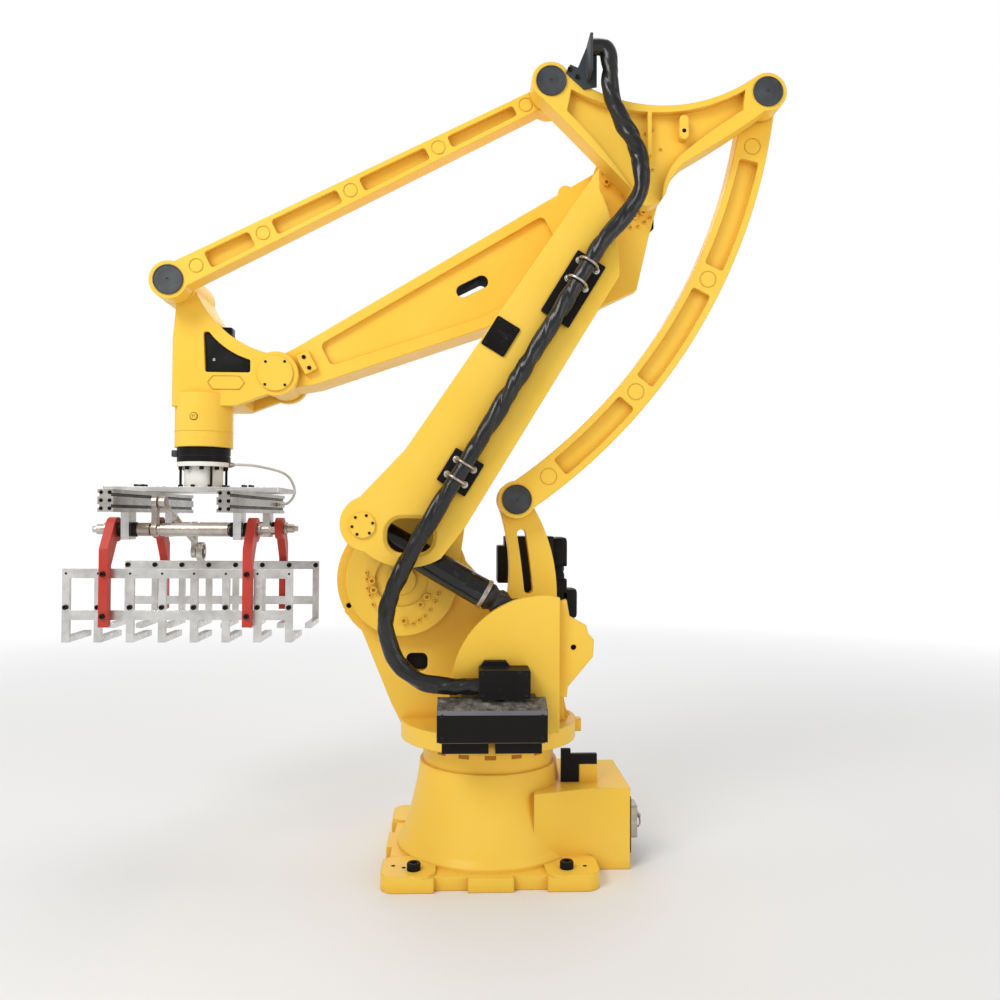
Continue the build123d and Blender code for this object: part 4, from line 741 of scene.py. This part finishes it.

# Foot bolts and holes, the screws round the wrist and the turntable, and painted shade that lengthens the notches
# under the turntable

FOOT_Z = 0.045
FOOT_BOLT_X, FOOT_BOLT_Y = 0.21, 0.25
TURNTABLE_Z = 0.4083
screws("foot_bolts", [
    Vector((x, y, FOOT_Z)) for x in (-FOOT_BOLT_X, FOOT_BOLT_X) for y in (-FOOT_BOLT_Y, FOOT_BOLT_Y)
], UP, 0.019, "black_satin", "base", height=0.02)
screws("wrist_ring_screws", flat_circle(TOOL, TOOL.z + 0.024, 0.0800, range(0, 360, 15)), UP, 0.0042,
       "yellow_paint", "wrist", height=0.006)
holes("foot_small_holes", [Vector((x, y, FOOT_Z)) for x, y in (
    (0.268, 0.222), (0.238, 0.236), (-0.262, 0.238), (-0.262, -0.238))], UP, 0.006, "base")
screws("turntable_screws", flat_circle(Vector((0, 0, 0)), TURNTABLE_Z, 0.244, range(185, 360, 18)), UP, 0.007,
       "yellow_paint", "column")

NECK_R = 0.1963
POCKETS = 16
POCKET_HALF = radians(4.68)
POCKET_STEPS = 6
POCKET_FROM, POCKET_TO = 0.3260, 0.3421


def neck_pocket_shade(mesh):
    """Patches of painted shade that lengthen the notches round the neck under the turntable."""
    for pocket in range(POCKETS):
        angles = [TAU * pocket / POCKETS + POCKET_HALF * (2 * step / POCKET_STEPS - 1)
                  for step in range(POCKET_STEPS + 1)]
        below, above = [[mesh.verts.new((NECK_R * cos(a), NECK_R * sin(a), z)) for a in angles]
                        for z in (POCKET_FROM, POCKET_TO)]
        for step in range(POCKET_STEPS):
            mesh.faces.new((below[step], below[step + 1], above[step + 1], above[step]))


# Painted shade of the notches under the turntable.
piece("neck_pocket_shade", neck_pocket_shade, "pocket_shade", "base")

# Screws of the gearbox and the two far motors

MOTORS = (("shoulder_motor", "column"), ("elbow_motor", "upper_arm"))
MOTOR_SCREW_REACH = 0.042
screws("gearbox_screws", circle_spots(SHOULDER, low("shoulder_gearbox").y, 0.126, range(0, 360, 30)), -NEAR, 0.008,
       "yellow_paint", "column")
for motor, body in MOTORS:
    spot, ways = middle(motor), (-MOTOR_SCREW_REACH, MOTOR_SCREW_REACH)
    screws(f"{motor}_screws", face_grid([spot.x + x for x in ways], low(motor).y, [spot.z + z for z in ways]),
           -NEAR, 0.006, "bare_steel", body)

# Wrist: motor, plain badge pad, seam, the motor's plugs with a ribbed gland, and the oil plug with a ring of painted
# shade round it

WRIST_FACE_Y = high("wrist_pin_cover").y - 0.006
BADGE_X, BADGE_Z = TOOL.x - 0.078, WRIST.z - 0.0285
BADGE_OUTLINE = (
    (-0.054, 0.0), (-0.039, -0.020), (0.039, -0.020), (0.054, 0.0), (0.039, 0.020), (-0.039, 0.020),
)
OIL_PLUG = Vector((TOOL.x + 0.007, 0.0832, WRIST.z - 0.132))
RIB_PITCH = 0.006


def raised_pad(mesh, outline, y, rise, rim, sink):
    """Raised pad on a near face, with a rim round a sunken field."""
    base = [mesh.verts.new((x, y - 0.001, z)) for x, z in outline]
    top = [mesh.verts.new((x, y + rise, z)) for x, z in outline]
    wall(mesh, base, top)
    mesh.faces.new(base)
    face = mesh.faces.new(top)
    bmesh.ops.inset_region(mesh, faces=[face], thickness=rim, depth=0.0)
    bmesh.ops.inset_region(mesh, faces=[face], thickness=0.0015, depth=0.0)
    bmesh.ops.translate(mesh, vec=(0, -sink, 0), verts=face.verts)


def badge(mesh):
    """Six-sided pad without a mark."""
    outline = [(BADGE_X + x, BADGE_Z + z) for x, z in BADGE_OUTLINE]
    raised_pad(mesh, outline, WRIST_FACE_Y, 0.0030, 0.0045, 0.0018)


def wrist_motor_shell(mesh):
    """Motor body with its rear top corner cut away."""
    front, rear = high("wrist_motor"), low("wrist_motor")
    prism(mesh, [(rear.x, rear.z), (front.x, rear.z), (front.x, front.z), (front.x - 0.030, front.z),
                 (rear.x + 0.006, front.z - 0.052), (rear.x, front.z - 0.060)], front.y, rear.y)


def wrist_plugs(mesh):
    """Two plug boxes and a ribbed gland."""
    depth = middle("wrist_motor").y
    box_shape(mesh, (TOOL.x - 0.027, depth, WRIST.z + 0.050), (0.038, 0.060, 0.104), 0.006)
    box_shape(mesh, (TOOL.x - 0.055, depth, WRIST.z + 0.122), (0.036, 0.044, 0.062), 0.006)
    ribs = []
    for start in (RIB_PITCH * step for step in range(6)):
        ribs += [(0.0125, start), (0.0160, start + 0.001), (0.0160, start + 0.004), (0.0125, start + 0.005)]
    lathe(mesh, Vector((low("wrist_motor").x + 0.010, depth, WRIST.z + 0.062)), -FORWARD, ribs, 32)


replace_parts(piece("wrist_motor_shell", wrist_motor_shell, "motor_black", "wrist", 30), "wrist_motor")
piece("wrist_badge_pad", badge, "yellow_paint", "wrist", 30)
turned("wrist_seam_ring", Vector((TOOL.x, TOOL.y, WRIST.z - 0.174)), UP, collar(0.0838, 0.0852, 0.0038, 0.0008),
       "yellow_paint", "wrist", 72, 50)
piece("wrist_motor_plugs", wrist_plugs, "motor_black", "wrist")
screws("wrist_oil_plug", [OIL_PLUG], NEAR, 0.0095, "yellow_paint", "wrist", height=0.004)
# Painted shade: a dark ring round the oil plug.
turned("wrist_plug_shade_ring", at_depth(OIL_PLUG, 0.0826), NEAR, (
    (0.0092, 0.0), (0.0092, 0.0014), (0.0120, 0.0014), (0.0125, 0.0)), "pocket_shade", "wrist", 32)

# Dark plate behind the wrist's window, with a screw, and the dark lining of the arm's slot, both painted shade of the
# insides

WINDOW_SHADE_Y = 0.048
WINDOW = (
    (-0.0105, 0.1205), (-0.0265, 0.1205), (-0.055, 0.0905), (-0.088, 0.0655), (-0.118, 0.0505), (-0.1475, 0.0395),
    (-0.1475, 0.0025), (-0.0165, 0.0025),
)
SLOT_ALONG, SLOT_UP = 0.580, -0.018
SLOT_HALF, SLOT_R = 0.032, 0.0194
SLOT_NEAR, SLOT_FAR = 0.0085, -0.1145
SLOT_SIDES = 32


def wrist_window_shade_plate(mesh):
    """Dark plate that fills the near window: painted shade of the window's inside."""
    prism(mesh, [(TOOL.x + x, WRIST.z + z) for x, z in WINDOW], WINDOW_SHADE_Y, WINDOW_SHADE_Y - 0.012)


def arm_slot_lining(mesh):
    """Near-black wall of the slot through the upper arm, open at both ends: painted shade of the slot's inside."""
    rings = []
    for y in (SLOT_NEAR, SLOT_FAR):
        ring = []
        for step in range(SLOT_SIDES):
            angle = TAU * step / SLOT_SIDES
            along = SLOT_ALONG + (SLOT_HALF if cos(angle) > 0 else -SLOT_HALF) + SLOT_R * cos(angle)
            ring.append(mesh.verts.new(on_upper(along, SLOT_UP + SLOT_R * sin(angle), y)))
        rings.append(ring)
    wall(mesh, *rings)


# Painted shade: the window's inside darkened by a plate.
piece("wrist_window_shade_plate", wrist_window_shade_plate, "motor_black", "wrist", 30)
screws("wrist_window_screw", [Vector((TOOL.x - 0.040, WINDOW_SHADE_Y, WRIST.z + 0.040))], NEAR, 0.0045,
       "bare_steel", "wrist", height=0.003)
# Painted shade: the slot's inside lined in near-black.
piece("arm_slot_lining", arm_slot_lining, "hole_shade_black", "upper_arm")
holes("balancer_pin_hole", [at_depth(BALANCER_REAR, 0.184)], NEAR, 0.0085, "column")

# Far side: motor flanges, the elbow motor's plug and a cover plate on the upper arm

UPPER_FAR = high("elbow_motor").y
PLATE_BACK = UPPER_FAR - 0.004
FLANGE_REACH, FLANGE_CUT = 0.078, 0.026


def motor_flange(mesh, motor):
    """Square flange with cut corners between a motor and its casting."""
    spot = SHOULDER if motor == "shoulder_motor" else middle(motor)
    y, reach, cut = high(motor).y, FLANGE_REACH, FLANGE_REACH - FLANGE_CUT
    corners = ((reach, -cut), (reach, cut), (cut, reach), (-cut, reach), (-reach, cut), (-reach, -cut),
               (-cut, -reach), (cut, -reach))
    prism(mesh, [(spot.x + x, spot.z + z) for x, z in corners], y - 0.020, y + 0.002)


def upper_arm_plate(mesh):
    """Four-sided plate that narrows with the arm."""
    corners = [on_upper(along, up, 0) for along, up in (
        (0.720, -0.048), (0.720, 0.036), (1.000, 0.018), (1.000, -0.034))]
    prism(mesh, [(corner.x, corner.z) for corner in corners], UPPER_FAR + 0.002, PLATE_BACK)


for motor, body in MOTORS:
    piece(f"{motor}_flange", lambda mesh: motor_flange(mesh, motor), "motor_black", body)
block("elbow_motor_plug", (middle("elbow_motor").x, low("elbow_motor").y + 0.045, high("elbow_motor").z + 0.016),
      (0.060, 0.056, 0.036), 0.006, "motor_black", "upper_arm")
piece("upper_arm_cover_plate", upper_arm_plate, "yellow_paint", "upper_arm")
screws("upper_arm_cover_screws", [on_upper(along, up, PLATE_BACK) for along, up in (
    (0.732, -0.036), (0.732, 0.024), (0.860, -0.030), (0.860, 0.016), (0.988, -0.024), (0.988, 0.008))],
    -NEAR, 0.0055, "bare_steel", "upper_arm", height=0.004)
# Near-black screws: painted shade of the screw holes.
screws("wrist_far_screws", circle_spots(WRIST, low("wrist_casting").y, 0.045, range(20, 380, 60)), -NEAR, 0.0045,
       "hole_shade_black", "wrist", height=0.0022)

# Column: a cover in its hole, its lug's hole, and the plugs and glands of the turning motor

GLAND = (
    (0.021, -0.006), (0.021, 0.006), (0.017, 0.008), (0.019, 0.010, 6), (0.019, 0.022, 6), (0.014, 0.026),
    (0.012, 0.034),
)


def motor_plugs(mesh):
    """Plug boxes and glands round the turning motor, seen on both sides of the slotted post."""
    back, front, depth = low("turn_motor").x, high("turn_motor").x, middle("turn_motor").y
    for x, z, size, edge in ((back + 0.022, 0.905, (0.046, 0.084, 0.086), 0.014),
                             (back + 0.026, 0.815, (0.040, 0.060, 0.050), 0.012),
                             (back - 0.006, 0.738, (0.056, 0.070, 0.094), 0.013),
                             (front + 0.022, 0.862, (0.050, 0.100, 0.118), 0.006),
                             (front + 0.010, 0.934, (0.030, 0.084, 0.032), 0.004)):
        box_shape(mesh, (x, depth, z), size, edge)
    for x, z in ((back + 0.024, 0.862), (back - 0.008, 0.694)):
        lathe(mesh, Vector((x, depth, z)), DOWN, GLAND)


block("column_hole_cover", (SHOULDER.x - 0.044, -0.010, SHOULDER.z - 0.248), (0.068, 0.006, 0.058), 0.001,
      "motor_black", "column")
holes("column_lug_hole", [Vector((SHOULDER.x + 0.160, 0.012, SHOULDER.z - 0.080))], NEAR, 0.0084, "column")
piece("turn_motor_plugs", motor_plugs, "motor_black", "column")

# Levers on the two connectors of the base

LEVER_R = 0.0028
CONNECTOR_HALF = 0.045


def connector_levers(mesh):
    """Bent wire levers, an upper and a lower one on each connector."""
    rear, near, far = low("panel_connectors").x, high("panel_connectors").y, low("panel_connectors").y
    for y in (near - CONNECTOR_HALF, far + CONNECTOR_HALF):
        for z, drop in ((0.145, -0.030), (0.095, 0.026)):
            bends = [Vector((rear + out, y + across, z + share * drop)) for out, across, share in (
                (0.004, -0.034, 0.0), (-0.010, -0.032, 0.4), (-0.013, 0.0, 1.0), (-0.010, 0.032, 0.4),
                (0.004, 0.034, 0.0))]
            pipe(mesh, smooth_route(bends, 0.004), LEVER_R, 8)


piece("connector_levers", connector_levers, "bare_steel", "base")

# Gripper: turned flange, pillar bolts and studs, plate screws and profile end holes

FLANGE_Z = low("tool_flange").z
PLATE_Z = high("gripper_plate").z
PROFILE_X = [TOOL.x + hand * 0.153 for hand in (-1, 1)]
PROFILE_Z = middle("cross_profiles").z
flange_ring = turned("tool_flange_turned", Vector((TOOL.x, TOOL.y, FLANGE_Z)), UP, (
    (0.0745, 0.0), (0.0770, 0.002), (0.0770, 0.0175), (0.0752, 0.0185), (0.0752, 0.0215), (0.0770, 0.0225),
    (0.0770, 0.0415), (0.0755, 0.0436)), "black_satin", "tool", 96, 30)
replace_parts(flange_ring, "tool_flange")
block("tool_flange_plug", (TOOL.x + 0.080, 0.012, FLANGE_Z + 0.026), (0.018, 0.030, 0.020), 0.003,
      "black_plastic", "tool")
screws("pillar_top_bolts", flat_circle(TOOL, high("tool_pillar").z - 0.013, 0.066, range(20, 380, 40)), DOWN,
       0.0062, "black_satin", "tool", height=0.010)
screws("pillar_foot_bolts", flat_circle(TOOL, PLATE_Z, 0.070, range(0, 360, 40)), UP, 0.0062, "black_satin",
       "tool", height=0.009)


def pillar_studs(mesh):
    """Studs that stand on the plate round the pillar."""
    for foot in flat_circle(TOOL, PLATE_Z - 0.002, 0.0665, (8, 124, 208, 316)):
        pipe(mesh, [foot, foot + UP * 0.066], 0.0038)


def slot_shade_strips(mesh):
    """Dark strips that line the slots of the two profiles: painted shade in the slots."""
    for x in PROFILE_X:
        for face in (-0.0145, 0.0145):
            for z in (-0.015, 0.015):
                box_shape(mesh, (x + face, 0, PROFILE_Z + z), (0.0020, 0.697, 0.0088), 0.0003)


piece("pillar_studs", pillar_studs, "black_satin", "tool")
screws("plate_screws", [
    Vector((x + offset, y, PLATE_Z)) for x in PROFILE_X for offset in (-0.010, 0.010)
    for y in (-0.105, -0.080, 0.080, 0.105)
], UP, 0.0055, "black_satin", "tool", height=0.007)
# Painted shade in the slots of the profiles.
piece("profile_slot_shade_strips", slot_shade_strips, "black_plastic", "tool")
for side, end, axis in (("near", high("cross_profiles").y, NEAR), ("far", low("cross_profiles").y, -NEAR)):
    holes(f"profile_end_holes_{side}", face_grid(
        [x + offset for x in PROFILE_X for offset in (-0.011, 0.011)], end,
        [PROFILE_Z + z for z in (-0.021, 0.0, 0.021)]), axis, 0.0052, "tool")

# Claws: thick sleeves and black collars on the shafts, end bolts, and the bolts of arms and fingers

FINGER_PITCH = 0.086
FINGER_X = [TOOL.x + FINGER_PITCH * (index - 3.5) for index in range(8)]
ARM_X = [TOOL.x + x for x in (-0.192, 0.192)]
RAIL_DROP = 0.120
RAIL_THICK = 0.012


def shaft_sleeves(mesh, shaft):
    """A long and a short sleeve."""
    for start, length in ((-0.126, 0.190), (0.090, 0.036)):
        lathe(mesh, shaft + FORWARD * start, FORWARD, collar(0.0150, 0.0185, length, 0.002), 40)


def shaft_collars(mesh, shaft):
    """Collars on both sides of the bearing blocks."""
    for start in (-0.1785, -0.1405, 0.1275, 0.1655):
        lathe(mesh, shaft + FORWARD * start, FORWARD, collar(0.0145, 0.0205, 0.013, 0.0012), 32)


def shaft_ends(mesh, shaft):
    """A bolt and a ring at each end."""
    for way in (-1, 1):
        hex_bolt(mesh, shaft + FORWARD * 0.2345 * way, FORWARD * way, 0.0105, 0.012)
        lathe(mesh, shaft + FORWARD * 0.2065 * way, FORWARD * way, collar(0.014, 0.0195, 0.0095, 0.001), 32)


for side, shaft, hand, outermost in (("near", NEAR_SHAFT, 1, high), ("far", FAR_SHAFT, -1, low)):
    claw = f"{side}_claw"
    axis = NEAR * hand
    for part, build, look in (("sleeves", shaft_sleeves, "bare_steel"), ("collars", shaft_collars, "black_satin"),
                              ("ends", shaft_ends, "bare_steel")):
        piece(f"{side}_shaft_{part}", lambda mesh: build(mesh, shaft), look, claw)
    arm_y, rake_y = outermost(f"{claw}_arms").y, outermost(f"{side}_rake").y
    screws(f"{side}_arm_bolts", face_grid(ARM_X, arm_y, (shaft.z - RAIL_DROP, shaft.z - 0.234)), axis, 0.0072,
           "black_satin", claw)
    screws(f"{side}_finger_bolts", face_grid(FINGER_X, rake_y, (shaft.z - 0.212,)), axis, 0.0068, "black_satin", claw)
    # Near-black screws: painted shade of the screw holes.
    screws(f"{side}_rail_screws", face_grid(FINGER_X, rake_y, (shaft.z - RAIL_DROP,)), axis, 0.0032, "hole_shade_black",
           claw, height=0.0012)
    screws(f"{side}_inner_bolts", face_grid(FINGER_X, rake_y - hand * RAIL_THICK, (shaft.z - RAIL_DROP,)), -axis,
           0.0075, "black_satin", claw, height=0.006)

TIE_NEAR = pivot["tie_rod_pivot"]
TIE_FAR = Vector((TIE_NEAR.x, FAR_SHAFT.y, FAR_SHAFT.z - (TIE_NEAR.z - NEAR_SHAFT.z)))
TIE_DIR = (TIE_FAR - TIE_NEAR).normalized()


def tie_nuts(mesh):
    """Lock nuts near the eyes and a long turning nut."""
    for along, length in ((0.026, 0.012), (0.120, 0.050), (0.330, 0.012)):
        lathe(mesh, TIE_NEAR + TIE_DIR * along, TIE_DIR, (
            (0.0085, 0.0), (0.0105, 0.001, 6), (0.0105, length - 0.001, 6), (0.0085, length)))


piece("tie_rod_nuts", tie_nuts, "bare_steel", "tie_rod")

# Air tube from the pillar's flange to a cross profile, with push-in fittings

AIR_R = 0.004
AIR_POINTS = [Vector((TOOL.x + x, y, z)) for x, y, z in (
    (-0.0765, 0.0, 1.1615), (-0.110, -0.018, 1.1640), (-0.160, -0.060, 1.1600), (-0.220, -0.130, 1.1400),
    (-0.238, -0.182, 1.0900), (-0.212, -0.207, 1.0520), (-0.1735, -0.212, 1.0480))]
FITTING = ((0.0050, -0.001), (0.0078, 0.0), (0.0078, 0.007), (0.0062, 0.008), (0.0062, 0.013), (0.0046, 0.014))
air_route = smooth_route(AIR_POINTS, 0.004)
air_tube = piece("air_tube_run", lambda mesh: pipe(mesh, air_route, AIR_R, 14), "pale_tube", "tool", 60)
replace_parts(air_tube, "air_tube")


def air_fittings(mesh):
    """A push-in fitting at each end of the air tube."""
    for end, inward in ((AIR_POINTS[0], air_route[3] - air_route[0]),
                        (AIR_POINTS[-1], air_route[-4] - air_route[-1])):
        lathe(mesh, end + FORWARD * 0.0005, inward.normalized(), FITTING)


piece("air_fittings", air_fittings, "bare_steel", "tool")

# Camera at the photograph's place, floor and light

CAMERA_AT = (0.089, 2.715, 1.009)
CAMERA_TURN = (91.12, -0.32, 177.45)
CAMERA_LENS = 32.1
camera = bpy.data.objects.new("camera", bpy.data.cameras.new("camera"))
bpy.context.collection.objects.link(camera)
camera.location = CAMERA_AT
camera.rotation_euler = [radians(angle) for angle in CAMERA_TURN]
camera.data.lens = CAMERA_LENS
camera.data.sensor_width = 36.0
camera.data.clip_start = 0.05
camera.data.clip_end = 100.0
bpy.context.scene.camera = camera

FLOOR_REACH = 40.0
FLOOR_Z = -0.0005
floor_mesh = bmesh.new()
bmesh.ops.create_grid(floor_mesh, x_segments=1, y_segments=1, size=FLOOR_REACH)
floor_data = bpy.data.meshes.new("floor")
floor_mesh.to_mesh(floor_data)
floor_mesh.free()
floor = bpy.data.objects.new("floor", floor_data)
floor.location.z = FLOOR_Z
bpy.context.collection.objects.link(floor)
floor_paint = Finish("floor_paint", specular=0.2)
away = floor_paint.add("ShaderNodeVectorMath")
away.operation = "LENGTH"
floor_paint.feed(away.inputs[0], floor_paint.place)
fade = floor_paint.span(away.outputs["Value"], 1.4, 6.5)
floor_paint.feed(floor_paint.shader.inputs["Emission Color"], (1.0, 1.0, 1.0, 1.0))
floor_paint.feed(floor_paint.shader.inputs["Emission Strength"], fade)
shade = floor_paint.blend(fade, (0.84, 0.84, 0.84), (0.0, 0.0, 0.0))
floor.data.materials.append(floor_paint.finish(shade, 0.6))


def area_light(name, at, target, size, power, colour=(1.0, 1.0, 1.0)):
    """Soft square light that points at a target."""
    lamp = bpy.data.objects.new(name, bpy.data.lights.new(name, "AREA"))
    lamp.data.shape = "SQUARE"
    lamp.data.size = size
    lamp.data.energy = power
    lamp.data.color = colour
    lamp.location = at
    lamp.rotation_euler = (Vector(target) - Vector(at)).to_track_quat("-Z", "Y").to_euler()
    bpy.context.collection.objects.link(lamp)


area_light("key", (2.6, 3.2, 4.2), (0.1, 0.0, 1.1), 2.2, 120.0, (1.0, 0.985, 0.96))
area_light("fill", (-3.4, 3.0, 2.2), (0.0, 0.0, 1.0), 2.6, 30.0, (0.97, 0.985, 1.0))
area_light("top", (0.2, -1.0, 5.2), (0.1, 0.0, 0.8), 3.0, 60.0)
area_light("back", (0.0, -4.2, 2.8), (0.0, 0.0, 1.2), 2.6, 25.0)

SKY_LIGHT = 0.55
world = bpy.context.scene.world or bpy.data.worlds.new("world")
bpy.context.scene.world = world
world.use_nodes = True
sky = world.node_tree.nodes["Background"]
sky.inputs["Color"].default_value = (1.0, 1.0, 1.0, 1.0)
seen = world.node_tree.nodes.new("ShaderNodeLightPath")
strength = world.node_tree.nodes.new("ShaderNodeMapRange")
strength.inputs[3].default_value = SKY_LIGHT
strength.inputs[4].default_value = 1.0
world.node_tree.links.new(seen.outputs["Is Camera Ray"], strength.inputs[0])
world.node_tree.links.new(strength.outputs[0], sky.inputs["Strength"])
bpy.context.scene.view_settings.view_transform = "Standard"
bpy.context.scene.view_settings.look = "None"
